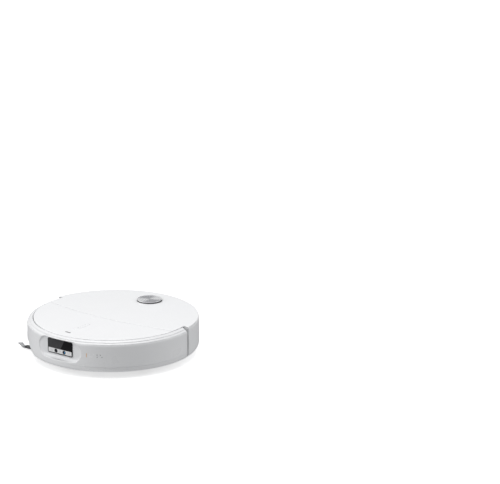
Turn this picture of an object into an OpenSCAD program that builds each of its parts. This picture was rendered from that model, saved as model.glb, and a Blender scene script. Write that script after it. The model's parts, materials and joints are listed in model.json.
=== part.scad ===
// Round robot vacuum with a front bumper, a rising lidar turret, a lift-off lid
// over the dust box, a roller brush, a side brush and two spinning mops.
// Frame: +Z up, the floor at z = 0, the body's centre over the origin, front at -Y.

/* [Body] */
// Diameter of the body
body_d = 350; // [340:1:430]
// Height of the lid's edge above the floor
top_z = 78; // [76:1:100]
// Rise of the lid from its edge to its middle
crown_h = 2.5; // [1:0.5:5]
// Height of the base above the floor
base_z = 12; // [10:1:12]
// Thickness of the outer shells
wall_t = 2.4; // [1.8:0.2:3]
// Thickness of the base and of the deck
plate_t = 3; // [2:0.5:3]
// Gap between shells that part from each other
seam_gap = 0.5; // [0.3:0.1:0.8]
// Gap between pieces that move past each other
run_gap = 0.4; // [0.3:0.1:0.8]
// Radial clearance of a shaft in its bore
fit_gap = 0.08; // [0.02:0.01:0.1]

/* [Bumper] */
// Half of the angle that the bumper covers, from the front
bumper_half_deg = 97.3; // [90:0.1:98]
// Width of the open groove behind each end of the bumper
groove_w = 8; // [6:0.5:10]
// How far the bumper can be pushed back
bumper_travel = 3.5; // [2:0.5:4]
// Width of the crown ring that shows between the lid and the bumper
ring_w = 7; // [5:0.5:9]
// Radial width of the bumper's rounded top edge
rim_round = 5.4; // [3:0.2:6]
// Drop of the bumper's top edge below the lid's edge
rim_drop = 4; // [3:0.5:5]

/* [Sensor window] */
// Length of the oval recess in the bumper
recess_w = 108; // [90:1:120]
// Height of the oval recess
recess_h = 42; // [36:1:42]
// Width of the sensor window
window_w = 64; // [50:1:70]
// Height of the sensor window
window_h = 30.5; // [26:0.5:31]
// Radius of each camera lens
lens_r = 4; // [3:0.5:4.5]
// Distance between the two camera lenses
lens_pitch = 21.2; // [16:0.2:26]

/* [Lidar] */
// Radius of the lidar turret's cap
lidar_r = 25.5; // [22:0.5:26]
// Distance of the lidar behind the body's centre
lidar_y = 118; // [116:1:124]

/* [Drive wheels] */
// Diameter of a drive wheel
wheel_d = 68; // [56:1:68]
// Width of a drive wheel's tyre
wheel_w = 18; // [14:1:20]
// Distance of each wheel's middle from the centre line
wheel_x = 115; // [113:1:118]
// Distance from the suspension's pivot to the wheel's axle
arm_len = 47; // [46:1:50]

/* [Brushes] */
// Radius of the roller brush over its bristles
roller_r = 20; // [17:0.5:20]
// Distance of the roller's axle in front of the centre
roller_y = 56; // [54:1:58]
// Reach of a side brush arm from its axle
side_reach = 69; // [62:0.5:72]

/* [Mops] */
// Radius of a mop pad
pad_r = 58; // [48:1:58]
// Thickness of a mop pad
pad_t = 10; // [6:1:10]

/* [Dust box] */
// Width of the dust box
bin_w = 156; // [120:1:156]
// Depth of the dust box from front to back
bin_d = 82; // [60:1:82]

/* [Hidden] */
$fn = 96;
body_r = body_d / 2;
inner_r = body_r - wall_t;

// Heights of the deck, the shells and the lid
deck_top = top_z - 5;
deck_t = plate_t - 0.5;
deck_bottom = deck_top - deck_t;
base_top = base_z + plate_t;
bumper_top = top_z - rim_drop;
bumper_low = base_z + 2;
crease_z = base_z + 12.4;
shell_top = top_z - 2.4;

// Outlines seen from above
rim_r = body_r - rim_round;
cover_front_r = rim_r - ring_w - 0.6;
cover_rear_r = body_r - 1;
step_y = 29;
seam_r = 580;
seam_apex = -32;
chassis_r = body_r - 12;
chassis_t = 2.4;
groove_deg = groove_w / body_r * 180 / PI;
shell_half_deg = bumper_half_deg + groove_deg;

// Sensor window
recess_z = 51;
recess_floor = body_r - 10;
bezel_back = recess_floor - 2;
window_z = 53.6;
window_edge = 1.6;
window_t = 1.6;
strip_h = 9.4;
strip_z = window_z - window_h / 2 + window_edge + strip_h / 2;
pocket_w = recess_w + 14;
pocket_y = recess_floor - 11 - bumper_travel;

// Controls on the front panel
button_l = 42;
button_w = 12;
button_y = -99;
button_travel = 0.8;
plunger_r = 2;
switch_h = 3.4;
board_t = 1.6;
board_z = deck_bottom - 6.5;
light_l = 14;
light_w = 3;
light_y = -141.4;
mic_r = 0.7;
mic_spots = [[-25, -115], [25, -115], [0, -72]];

// Dust box and the well that it sits in
bin_y = 20;
bin_floor = 33.5;
bin_top = deck_top - 4;
bin_wall = 2;
bin_cover_t = 2.5;
well_wall = 1.8;
well_gap = 1.2;
duct_w = 56;
duct_z0 = 40;
duct_z1 = 55;
outlet_y0 = 38;
outlet_y1 = 56;
outlet_z0 = bin_top - bin_cover_t - 7;
outlet_h = 6;
filter_t = 9;

// Mops
mop_x = pad_r + 4.5;
mop_y = 79;
bay_r = pad_r + 2;
bay_wall = 1.5;
bay_roof = 29.5;
plate_h = 4;
shaft_r = 5;
carriage_z = 34;
carriage_h = 10;
mop_motor_r = 8.6;

// Drive wheels: the pivot is in front of the axle, at the same height
wheel_r = wheel_d / 2;
wheel_y = -7;
pivot_y = wheel_y - arm_len;
hub_r = wheel_r - 7;
arm_r = 21.5;
axle_r = 5;
arm_x0 = wheel_x - wheel_w / 2 - 17.8;
arm_x1 = wheel_x - wheel_w / 2 - 3;
motor_r = 9.2;
pin_r = 4;
bracket_t = 2.8;
coil_wire = 1.2;
coil_r = motor_r + 1.8;
coil_turns = 5;
coil_pitch = 2.6;
outer_x = wheel_x + wheel_w / 2 + 3;

// Roller brush, its housing and the belt that drives it
roller_z = roller_r + 1;
roller_x0 = -73;
roller_x1 = 77;
tunnel_r = roller_r + 4.5;
tunnel_x0 = -77;
tunnel_x1 = 81;
tunnel_wall = 2;
roller_pin_r = 3;
core_r = 9;
roller_pulley_r = 6.95;
motor_pulley_r = 4.35;
belt_t = 1.5;
belt_x = -83.3;
belt_w = 3;
belt_y = -98;
belt_z = 34;

// Side brush, on the robot's right
side_x = -110;
side_y = -98;
side_hub_r = 12;
side_deg = 176.5;
side_kink = 50;
side_arm_z = 5;
brush_rise = 6;
arch_deg = -53;
arch_z = 37;
arch_slope = 53;
side_motor_r = 11.5;

// Caster
caster_y = -126;
caster_r = 12.5;
caster_w = 13;
caster_trail = 5;
caster_bay_r = 20.5;
caster_roof = 30;

// Lidar
rack_module = 1.25;
pinion_teeth = 10;
pinion_r = rack_module * pinion_teeth / 2;
pressure_deg = 25;
backlash = 0.3;
tube_r = lidar_r + 1.6;
tube_wall = 1.6;
rack_x = tube_r + 3;
rack_z0 = 33;
turret_floor = rack_z0 + 25;
lift_motor_r = 7;
pinion_z = 54;
pinion_w = 5.6;

// Fan, on the left of the robot
fan_x = 118;
fan_y = 62;
fan_r = 27;
fan_z = 33;
fan_h = 25;
spindle_r = 2;

// Filler neck of the water tank, which comes up through the deck
tank_neck_x = -122;
tank_neck_y = 72;
neck_r = 7;

// ---------- shapes that repeat ----------

// Points on a quarter ellipse from angle a0 to a1, with half axes a and b
function quarter(cx, cy, a, b, a0, a1, steps) =
    [for (i = [0:steps]) let (t = a0 + (a1 - a0) * i / steps) [cx + a * cos(t), cy + b * sin(t)]];

// Height of the lid's top at radius r
function dome(r) = top_z + crown_h * (1 - pow(r / cover_rear_r, 2));

// A solid turned about Z that covers an angle to both sides of the front
module front_arc(half_deg) {
    rotate([0, 0, -90 - half_deg])
        rotate_extrude(angle = 2 * half_deg) children();
}

// The same for the rear, from half_deg behind the front on each side
module rear_arc(half_deg) {
    rotate([0, 0, -90 + half_deg])
        rotate_extrude(angle = 360 - 2 * half_deg) children();
}

// A flat bar with round ends, along X
module stadium(l, w) {
    square([l - w, w], center = true);
    for (s = [-1, 1])
        translate([s * (l - w) / 2, 0]) circle(w / 2);
}

// A rectangle with round corners
module round_rect(w, h, r) {
    square([w - 2 * r, h], center = true);
    square([w, h - 2 * r], center = true);
    for (sx = [-1, 1], sy = [-1, 1])
        translate([sx * (w / 2 - r), sy * (h / 2 - r)]) circle(r);
}

// Lifts a shape drawn on X and Z so that it runs from y = front to y = back
module facing(front, back, z) {
    translate([0, back, z]) rotate([90, 0, 0]) linear_extrude(back - front) children();
}

module tube(r_out, r_in, h) {
    difference() {
        cylinder(r = r_out, h = h);
        translate([0, 0, -1]) cylinder(r = r_in, h = h + 2);
    }
}

// A cylinder along X from x0 to x1
module bar(x0, x1, r, y, z) {
    translate([x0, y, z]) rotate([0, 90, 0]) cylinder(r = r, h = x1 - x0);
}

// The lid and the front panel together, seen from above
module cover_outline() {
    circle(cover_front_r);
    intersection() {
        circle(cover_rear_r);
        translate([-body_r, step_y]) square([body_d, body_r]);
    }
}

// The disc whose front edge is the seam between the panel and the lid
module seam_disc(grow) {
    translate([0, seam_apex + seam_r]) circle(seam_r + grow, $fn = 256);
}

// The lid's dome with its rounded edge and the rib under it
module cover_dome() {
    edge = 1.5;
    low = top_z - 1.9;
    top = [for (i = [0:12]) let (r = (cover_rear_r - edge) * i / 12) [r, dome(r)]];
    rotate_extrude()
        polygon(concat(top, [
            [cover_rear_r - 0.4, top_z - 0.5], [cover_rear_r, top_z - edge],
            [cover_rear_r, low], [0, low]
        ]));
}

// The rounded foot of the bumper, inset by t, from its widest point down
function bead_line(t) = quarter(body_r - 6, bumper_low + 9, 5.4 - t, 9 - t, 0, -90, 7);

// All that lies under the slope that clears the side brush, lowered by t
module brush_slope(t) {
    rotate([0, 0, -90 + arch_deg]) translate([body_r, 0, arch_z]) rotate([0, -arch_slope, 0])
        translate([-60, -90, -60 - t]) cube([120, 180, 60]);
}

// The outside of the bumper as one full solid
module bumper_block() {
    rim = quarter(rim_r, bumper_top - 7, rim_round, 7, 90, 0, 8);
    rotate_extrude()
        polygon(concat([[0, bumper_top]], rim, [[body_r, crease_z]], bead_line(0), [[0, bumper_low]]));
}

// One tooth of a gear, as points, on an involute from the root to the tip
function involute(rb, r) =
    let (t = sqrt(max(0, r * r / (rb * rb) - 1))) t * 180 / PI - atan(t);
function gear_points(teeth, m) =
    let (
        rp = m * teeth / 2,
        rb = rp * cos(pressure_deg),
        ra = rp + 0.8 * m,
        rr = rp - 1.05 * m,
        half = 90 / teeth - backlash / 2 / rp * 180 / PI,
        base = half + involute(rb, rp),
        flank = [for (i = [0:3]) max(rb, rr) + (ra - max(rb, rr)) * i / 3]
    )
    [for (k = [0:teeth - 1]) let (c = 360 * k / teeth)
        each concat(
            [[rr * cos(c - base), rr * sin(c - base)]],
            [for (r = flank) let (a = c - base + involute(rb, r)) [r * cos(a), r * sin(a)]],
            [for (i = [3:-1:0]) let (r = flank[i], a = c + base - involute(rb, r)) [r * cos(a), r * sin(a)]],
            [[rr * cos(c + base), rr * sin(c + base)]]
        )];

// A round wire swept along a helix about Z
module coil(r, wire, pitch, turns) {
    sides = 8;
    per_turn = 16;
    rings = per_turn * turns;
    points = [for (i = [0:rings], j = [0:sides - 1])
        let (a = 360 * i / per_turn, b = 360 * j / sides)
        [(r + wire / 2 * cos(b)) * cos(a), (r + wire / 2 * cos(b)) * sin(a),
            pitch * i / per_turn + wire / 2 * sin(b)]];
    walls = [for (i = [0:rings - 1], j = [0:sides - 1])
        let (k = (j + 1) % sides, p = i * sides, q = p + sides)
        each [[p + j, p + k, q + k], [p + j, q + k, q + j]]];
    polyhedron(points, concat(
        [for (j = [1:sides - 2]) [0, j + 1, j]], walls,
        [for (j = [1:sides - 2]) [rings * sides, rings * sides + j, rings * sides + j + 1]]
    ));
}

// ---------- base and housings ----------

screw_spots = [
    [-56, -136], [56, -136], [-128, -88], [128, -88], [-140, 38], [140, 38], [0, 28], [0, 152]
];
cliff_degs = [-62, -28, 28, 62];
cliff_r = body_r - 27;

// The rectangle and circles that the wheels hang through, on the +X side
module wheel_slot() {
    arm_reach = arm_r + 2;
    translate([arm_x0 - 0.6, pivot_y - arm_reach])
        square([arm_x1 - arm_x0 + 2, arm_len + 2 * arm_reach]);
    translate([arm_x1, pivot_y - motor_r - 5])
        square([outer_x - arm_x1, wheel_y + wheel_r + 3 - pivot_y + motor_r + 5]);
}

// The ears that hold one wheel arm's pivot pins, on the +X side
module pivot_ears() {
    for (x = [arm_x0 - 0.6 - bracket_t, outer_x])
        difference() {
            translate([x, pivot_y - 7, base_z]) cube([bracket_t, 14, wheel_r + 7 - base_z]);
            bar(x - 1, x + bracket_t + 1, pin_r + fit_gap, pivot_y, wheel_r);
        }
}

module base_pan() {
    color("lightgray") {
        difference() {
            union() {
                translate([0, 0, base_z]) cylinder(r = chassis_r, h = plate_t);
                for (s = [-1, 1])
                    translate([s * mop_x, mop_y, base_z])
                        cylinder(r = bay_r + bay_wall, h = bay_roof + 2 - base_z);
                translate([0, caster_y, base_z])
                    cylinder(r = caster_bay_r + 1.5, h = caster_roof + 2.5 - base_z);
                translate([0, caster_y, caster_roof]) cylinder(r = 7, h = 9);
                for (p = screw_spots)
                    translate([p[0], p[1], base_z]) cylinder(r = 3.6, h = 10);
            }
            for (s = [-1, 1]) {
                translate([s * mop_x, mop_y, base_z - 1]) cylinder(r = bay_r, h = bay_roof + 1 - base_z);
                translate([s * mop_x, mop_y, bay_roof - 1]) cylinder(r = shaft_r + 4, h = 4);
            }
            for (s = [0, 1])
                mirror([s, 0, 0]) translate([0, 0, base_z - 1]) linear_extrude(plate_t + 20) wheel_slot();
            translate([tunnel_x0 - tunnel_wall - 0.2, -roller_y - tunnel_r - 2.3, base_z - 1])
                cube([tunnel_x1 - tunnel_x0 + 2 * tunnel_wall + 0.4, 2 * tunnel_r + 4.6, plate_t + 2]);
            translate([belt_x - 1.3, -roller_y - 10.5, base_z - 1])
                cube([tunnel_x0 - tunnel_wall - belt_x + 1.3, 21, plate_t + 2]);
            translate([0, caster_y, base_z - 1]) cylinder(r = caster_bay_r, h = caster_roof + 1 - base_z);
            translate([0, caster_y, caster_roof - 1]) cylinder(r = pin_r + fit_gap, h = 12);
            translate([side_x, side_y, base_z - 1]) cylinder(r = side_hub_r - 3, h = plate_t + 2);
            for (p = screw_spots) {
                translate([p[0], p[1], base_z - 1]) cylinder(r = 3, h = 3.2);
                translate([p[0], p[1], base_z - 1]) cylinder(r = 1.5, h = 9.5);
            }
            cliff_blocks(0.1);
        }
        for (s = [0, 1])
            mirror([s, 0, 0]) pivot_ears();
    }
}

module cliff_blocks(grow) {
    for (a = cliff_degs)
        rotate([0, 0, a]) translate([-8 - grow, -cliff_r - 4 - grow, base_z - grow])
            cube([16 + 2 * grow, 8 + 2 * grow, 1.6 + grow]);
}

module cliff_windows() {
    color("black") cliff_blocks(0);
}

module base_screws() {
    color("silver")
        for (p = screw_spots)
            difference() {
                union() {
                    translate([p[0], p[1], base_z + 0.4]) cylinder(r = 2.8, h = 1.8);
                    translate([p[0], p[1], base_z + 2.2]) cylinder(r = 1.4, h = 6);
                }
                for (a = [0, 90])
                    translate([p[0], p[1], base_z + 0.4]) rotate([0, 0, a])
                        cube([3, 0.7, 1.6], center = true);
            }
}

// The half-round tunnel over the roller, with the duct to the dust box
module roller_housing() {
    out_r = tunnel_r + 2;
    x0 = tunnel_x0 - tunnel_wall;
    x1 = tunnel_x1 + tunnel_wall;
    well_front = bin_y - bin_d / 2 - well_gap - well_wall;
    color("dimgray")
        difference() {
            union() {
                bar(x0, x1, out_r, -roller_y, roller_z);
                translate([x0, -roller_y - out_r, base_z]) cube([x1 - x0, 2 * out_r, roller_z - base_z]);
                translate([-duct_w / 2 - 2, -roller_y, duct_z0 - 2])
                    cube([duct_w + 4, roller_y + well_front, duct_z1 - duct_z0 + 4]);
            }
            bar(tunnel_x0, tunnel_x1, tunnel_r, -roller_y, roller_z);
            translate([tunnel_x0, -roller_y - tunnel_r, -1])
                cube([tunnel_x1 - tunnel_x0, 2 * tunnel_r, roller_z + 1]);
            translate([x0 - 1, -roller_y - out_r - 1, roller_z - 2 * out_r])
                cube([x1 - x0 + 2, 2 * out_r + 2, 2 * out_r - roller_z + base_z]);
            translate([-duct_w / 2, -roller_y + 3, duct_z0])
                cube([duct_w, roller_y + well_front, duct_z1 - duct_z0]);
            bar(x0 - 1, tunnel_x0 + 1, roller_pin_r + fit_gap, -roller_y, roller_z);
            bar(tunnel_x1 - 1, x1 - 0.6, roller_pin_r + fit_gap, -roller_y, roller_z);
        }
}

module roller_guard() {
    guard_t = 2.5;
    side = 8;
    out_x = tunnel_x1 + 4.5;
    out_y = tunnel_r + 4.5;
    color("gray")
        difference() {
            translate([(tunnel_x0 + tunnel_x1) / 2, -roller_y, base_z - guard_t])
                linear_extrude(guard_t - 0.05) round_rect(2 * out_x - 2, 2 * out_y, 5);
            translate([(tunnel_x0 + tunnel_x1) / 2, -roller_y, base_z - guard_t - 1])
                linear_extrude(guard_t + 2) round_rect(2 * out_x - 2 - 1.2 * side, 2 * tunnel_r - 2, 3);
        }
}

// The inner wall behind the bumper, set back behind the sensor window
module chassis_wall() {
    h = deck_bottom - base_top;
    side_x = pocket_w / 2 - chassis_t / 2;
    side_back = -pocket_y + chassis_t / 2;
    side_front = -sqrt(pow(chassis_r - chassis_t / 2, 2) - pow(pocket_w / 2, 2));
    color("white") {
        difference() {
            translate([0, 0, base_top]) front_arc(shell_half_deg + 2)
                translate([chassis_r - chassis_t, 0]) square([chassis_t, h]);
            translate([-pocket_w / 2, -body_r, base_top - 1]) cube([pocket_w, body_r - pocket_y - 3, h + 2]);
        }
        translate([-side_x - 0.6, -pocket_y, base_top]) cube([2 * side_x + 1.2, chassis_t, h]);
        for (s = [-1, 1])
            translate([s * pocket_w / 2 - chassis_t / 2, side_front, base_top])
                cube([chassis_t, side_back - side_front, h]);
    }
}

// ---------- shells and deck ----------

module rear_shell() {
    flange_r = chassis_r + 0.3;
    low = base_z + 1;
    round_w = 9;
    round_h = 12;
    outer = concat(
        [[body_r - 0.6, shell_top], [body_r, shell_top - 0.6]],
        quarter(body_r - round_w, low + round_h, round_w, round_h, 0, -90, 8)
    );
    inner = concat(
        [[flange_r, low], [flange_r, low + 2]],
        quarter(body_r - round_w, low + round_h + 0.4, round_w - wall_t, round_h - 1.8, -90, 0, 8),
        [[inner_r, shell_top]]
    );
    slots = 11;
    color("white")
        difference() {
            union() {
                rear_arc(shell_half_deg) polygon(concat(outer, inner));
                for (s = [0, 1])
                    mirror([s, 0, 0]) rotate([0, 0, -90 + shell_half_deg])
                        rotate_extrude(angle = 1)
                            polygon(concat(outer, [[flange_r, low], [flange_r, shell_top]]));
            }
            for (i = [0:slots - 1])
                rotate([0, 0, 44 + 2.4 * i]) translate([body_r - 6, -1.3, crease_z + 12])
                    cube([12, 2.6, 22]);
            contact_blocks(0.15);
        }
}

module contact_blocks(grow) {
    for (s = [-1, 1])
        translate([s * 17 - 6 - grow, body_r - 4 - grow, crease_z + 8 - grow])
            cube([12 + 2 * grow, 4 + 2 * grow, 9 + 2 * grow]);
}

module charging_contacts() {
    color("gold") contact_blocks(0);
}

// The plate under the lid, with the dust box's well and the lidar's tube
module mid_deck() {
    well_w = bin_w + 2 * (well_gap + well_wall);
    well_d = bin_d + 2 * (well_gap + well_wall);
    well_low = bin_floor - 0.3 - 1.2;
    rib_r = cover_front_r - 4;
    color("whitesmoke") {
        difference() {
            union() {
                translate([0, 0, deck_bottom]) linear_extrude(deck_t) {
                    circle(chassis_r - chassis_t + 1.8);
                    intersection() {
                        circle(inner_r - 0.4);
                        translate([-body_r, step_y + 4]) square([body_d, body_r]);
                    }
                }
                translate([0, 0, deck_top]) front_arc(bumper_half_deg)
                    translate([rib_r - 2.5, 0]) square([2.5, 1.5]);
                translate([-well_w / 2, bin_y - well_d / 2, well_low])
                    cube([well_w, well_d, deck_bottom - well_low + 1]);
                translate([0, lidar_y, rack_z0])
                    cylinder(r = tube_r + tube_wall, h = deck_bottom - rack_z0 + 1);
            }
            translate([-bin_w / 2 - well_gap, bin_y - bin_d / 2 - well_gap, bin_floor - 0.3])
                cube([bin_w + 2 * well_gap, bin_d + 2 * well_gap, 60]);
            translate([0, lidar_y, rack_z0 - 1]) cylinder(r = tube_r, h = 60);
            translate([tube_r - 6, lidar_y - 5, rack_z0 - 1]) cube([14, 10, deck_top - rack_z0 + 2]);
            translate([-duct_w / 2, bin_y - well_d / 2 - 1, duct_z0])
                cube([duct_w, well_wall + 2, duct_z1 - duct_z0]);
            translate([well_w / 2 - well_wall - 1, outlet_y0, outlet_z0])
                cube([well_wall + 2, outlet_y1 - outlet_y0, outlet_h]);
            translate([-recess_w / 2, -body_r, deck_bottom - 1])
                cube([recess_w, body_r - bezel_back + bumper_travel + run_gap, deck_t + 1]);
            translate([0, button_y, deck_bottom - 1]) cylinder(r = plunger_r + 1, h = deck_t + 2);
            translate([tank_neck_x, tank_neck_y, deck_bottom - 1]) cylinder(r = neck_r + 0.3, h = deck_t + 2);
        }
        // The lift motor hangs from this block
        translate([rack_x + pinion_r - 4, lidar_y + 10, pinion_z + lift_motor_r])
            cube([8, 16, deck_bottom + 0.5 - pinion_z - lift_motor_r]);
    }
}

// The fixed ring that shows between the front panel and the bumper
module crown_ring() {
    low = bumper_top + seam_gap;
    high = top_z - 0.6;
    out = rim_r + 0.4;
    in = cover_front_r + 0.7;
    slope = [
        for (i = [0:6])
            let (t = i / 6)
                [in + 0.5 + (out - in - 1) * t, high - (high - low - 0.9) * pow(t, 1.4)]
    ];
    color("white")
        front_arc(bumper_half_deg)
            polygon(concat([[in, high - 0.5]], slope, [
                [out, low + 0.5], [out, low], [in - 7.5, low], [in - 7.5, low + 1.1], [in, low + 1.1]
            ]));
}

module front_panel() {
    color("white")
        difference() {
            intersection() {
                cover_dome();
                linear_extrude(2 * top_z)
                    difference() {
                        cover_outline();
                        seam_disc(seam_gap / 2);
                    }
            }
            translate([0, button_y, top_z - 4]) rotate([0, 0, 90])
                linear_extrude(9) stadium(button_l + 0.6, button_w + 0.6);
            translate([0, light_y, top_z - 4]) linear_extrude(9) stadium(light_l, light_w);
            for (p = mic_spots)
                translate([p[0], p[1], top_z - 4]) cylinder(r = mic_r, h = 9);
        }
}

module status_light() {
    color("gray")
        intersection() {
            translate([0, light_y, top_z - 1.9]) linear_extrude(5) stadium(light_l - 0.1, light_w - 0.1);
            cover_dome();
        }
}

module power_button() {
    low = top_z - 3;
    switch_top = board_z + board_t + switch_h;
    color("white") {
        intersection() {
            translate([0, button_y, top_z - 2]) rotate([0, 0, 90])
                linear_extrude(6) stadium(button_l, button_w);
            translate([0, 0, 0.2]) cover_dome();
        }
        translate([0, button_y, low]) rotate([0, 0, 90])
            linear_extrude(1.4) stadium(button_l - 4, button_w - 4);
        translate([0, button_y, switch_top + button_travel + 0.3])
            cylinder(r = plunger_r, h = low + 1 - switch_top - button_travel - 0.3);
    }
}

module lid() {
    color("white")
        difference() {
            union() {
                intersection() {
                    cover_dome();
                    linear_extrude(2 * top_z)
                        intersection() {
                            cover_outline();
                            seam_disc(-seam_gap / 2);
                        }
                }
                translate([0, 0, deck_top + 0.3]) rear_arc(shell_half_deg + 3)
                    translate([inner_r - 4, 0]) square([2, top_z - deck_top - 1.5]);
            }
            translate([0, lidar_y, 0]) cylinder(r = lidar_r + 0.9, h = 2 * top_z);
        }
}

// ---------- bumper ----------

module recess_shape(shrink) {
    stadium(recess_w - 2 * shrink, recess_h - 2 * shrink);
}

module bumper() {
    inner_edge = chassis_r + bumper_travel + 0.6;
    rim = quarter(rim_r, bumper_top - 7, rim_round, 7, 90, 0, 8);
    rim_in = quarter(rim_r, bumper_top - 7, rim_round - wall_t, 7 - wall_t, 0, 90, 8);
    foot_in = bead_line(wall_t);
    filled = concat(
        [[inner_edge, bumper_top]], rim, [[body_r, crease_z]], bead_line(0), [[inner_edge, bumper_low]]
    );
    hollow = concat(
        [[inner_edge - 5, bumper_low + wall_t]],
        [for (i = [len(foot_in) - 1:-1:0]) foot_in[i]],
        rim_in, [[inner_edge, bumper_top - 1.8], [inner_edge - 5, bumper_top - 1.8]]
    );
    color("white")
        difference() {
            front_arc(bumper_half_deg) polygon(filled);
            difference() {
                front_arc(bumper_half_deg - 0.8) polygon(hollow);
                brush_slope(-wall_t);
            }
            brush_slope(0);
            facing(-body_r - 5, -body_r + 30, recess_z) recess_shape(-0.15);
        }
}

// The oval tray that lines the recess
module sensor_bezel() {
    color("white")
        difference() {
            intersection() {
                facing(-body_r - 5, -bezel_back, recess_z) recess_shape(0);
                bumper_block();
            }
            facing(-body_r - 6, -recess_floor, recess_z) recess_shape(1.6);
            for (s = [-1, 1])
                facing(-recess_floor - 1, -recess_floor + 3, strip_z)
                    translate([s * lens_pitch / 2, 0]) circle(lens_r + 0.1);
        }
}

module sensor_window() {
    color("black")
        difference() {
            facing(-recess_floor - window_t, -recess_floor, window_z) round_rect(window_w, window_h, 3);
            facing(-recess_floor - window_t - 1, -recess_floor - 0.6, strip_z)
                round_rect(window_w - 2 * window_edge, strip_h, 1.4);
            for (s = [-1, 1])
                facing(-recess_floor - 2, -recess_floor + 1, strip_z)
                    translate([s * lens_pitch / 2, 0]) circle(lens_r + 0.1);
        }
}

module camera_strip() {
    color("silver")
        facing(-recess_floor - window_t + 0.2, -recess_floor - 0.6, strip_z)
            difference() {
                round_rect(window_w - 2 * window_edge - 0.2, strip_h - 0.2, 1.3);
                for (s = [-1, 1])
                    translate([s * lens_pitch / 2, 0]) circle(lens_r + 0.1);
            }
}

module camera_lenses() {
    color("navy")
        for (s = [-1, 1])
            translate([s * lens_pitch / 2, -recess_floor + 5, strip_z]) rotate([90, 0, 0]) {
                cylinder(r = lens_r, h = 5 + window_t);
                translate([0, 0, 5 + window_t]) cylinder(r1 = lens_r - 0.6, r2 = lens_r - 1.6, h = 0.6);
            }
}

module side_sensor_cover() {
    proud = 0.8;
    low = 31;
    color("whitesmoke")
        rotate([0, 0, -90 - 53 - 5]) rotate_extrude(angle = 10)
            translate([body_r, low])
                polygon([[0, 0], [proud, 1.2], [proud, 14.8], [0, 16]]);
}

// ---------- inside ----------

module main_board() {
    color("darkgreen") {
        difference() {
            translate([-70, -140, board_z]) cube([140, 106, board_t]);
            for (s = [-1, 1], y = [-134, -40])
                translate([s * 64, y, board_z - 1]) cylinder(r = 1.7, h = board_t + 2);
        }
        for (p = [[-40, -80, 18, 18], [10, -70, 14, 14], [38, -110, 24, 9], [-60, -120, 12, 20]])
            translate([p[0], p[1], board_z + board_t]) cube([p[2], p[3], 1.8]);
        translate([-3, button_y - 3, board_z + board_t]) cube([6, 6, switch_h]);
    }
}

module battery() {
    color("steelblue")
        translate([32, -112, 40]) linear_extrude(22) round_rect(80, 56, 4);
}

module roller_motor() {
    color("silver") {
        bar(-79.3, -30, 11, belt_y, belt_z);
        bar(-30, -26, 4, belt_y, belt_z);
        translate([-76, belt_y - 9, base_top]) cube([44, 18, belt_z - base_top - 2]);
    }
}

// The belt's outline round both pulleys, with the motor's pulley at the origin
module belt_path(grow) {
    hull() {
        circle(motor_pulley_r + grow, $fn = 48);
        translate([-roller_y - belt_y, roller_z - belt_z]) circle(roller_pulley_r + grow, $fn = 48);
    }
}

module drive_belt() {
    color("black")
        translate([belt_x, belt_y, belt_z]) rotate([90, 0, 90])
            linear_extrude(belt_w)
                difference() {
                    belt_path(belt_t + 0.1);
                    belt_path(0.1);
                }
}

module motor_pulley() {
    color("gray")
        difference() {
            bar(belt_x, belt_x + belt_w, motor_pulley_r, belt_y, belt_z);
            bar(belt_x - 1, belt_x + 0.8, motor_pulley_r - 1.5, belt_y, belt_z);
        }
}

module side_brush_motor() {
    color("silver") {
        translate([side_x, side_y, base_top]) cylinder(r = side_motor_r, h = 24);
        translate([side_x, side_y, base_top + 24]) cylinder(r = 9, h = 20);
    }
}

module fan_housing() {
    top = fan_z + fan_h;
    hood_x0 = bin_w / 2 + well_gap + well_wall;
    color("dimgray")
        difference() {
            union() {
                translate([fan_x, fan_y, fan_z]) cylinder(r = fan_r, h = fan_h);
                translate([fan_x + 12, fan_y, fan_z + 2]) cube([15, 28, fan_h - 6]);
                translate([hood_x0, outlet_y0 - 2, top - 1])
                    cube([fan_x - hood_x0 + 14, 40, outlet_z0 + outlet_h + 3 - top]);
            }
            translate([fan_x, fan_y, fan_z + 2]) tube(fan_r - 2, spindle_r, fan_h - 5);
            translate([fan_x + 14, fan_y, fan_z + 4]) cube([11, 29, fan_h - 10]);
            translate([fan_x, fan_y, top - 6]) cylinder(r = 12, h = 8);
            translate([hood_x0 - 1, outlet_y0, top + 1])
                cube([fan_x - hood_x0 + 13, 36, outlet_z0 + outlet_h - top]);
        }
}

module fan_impeller() {
    blades = 9;
    low = fan_z + 4;
    tall = fan_h - 10;
    color("white")
        translate([fan_x, fan_y, low]) {
            tube(fan_r - 5, spindle_r + fit_gap, 1.6);
            tube(6, spindle_r + fit_gap, tall);
            for (i = [0:blades - 1])
                rotate([0, 0, 360 * i / blades]) translate([5, -0.6, 0]) rotate([0, 0, 18])
                    cube([fan_r - 11, 1.2, tall - 2]);
        }
}

module water_tank() {
    color("lightblue")
        difference() {
            union() {
                intersection() {
                    translate([-158, 38, 35]) cube([62, 70, 30]);
                    cylinder(r = inner_r - 3, h = 2 * top_z);
                }
                translate([tank_neck_x, tank_neck_y, 64]) cylinder(r = neck_r, h = deck_top + 0.6 - 64);
            }
            intersection() {
                translate([-156, 40, 37]) cube([58, 66, 26]);
                cylinder(r = inner_r - 5, h = 2 * top_z);
            }
            translate([tank_neck_x, tank_neck_y, 60]) cylinder(r = neck_r - 1.6, h = deck_top - 58);
        }
}

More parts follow.
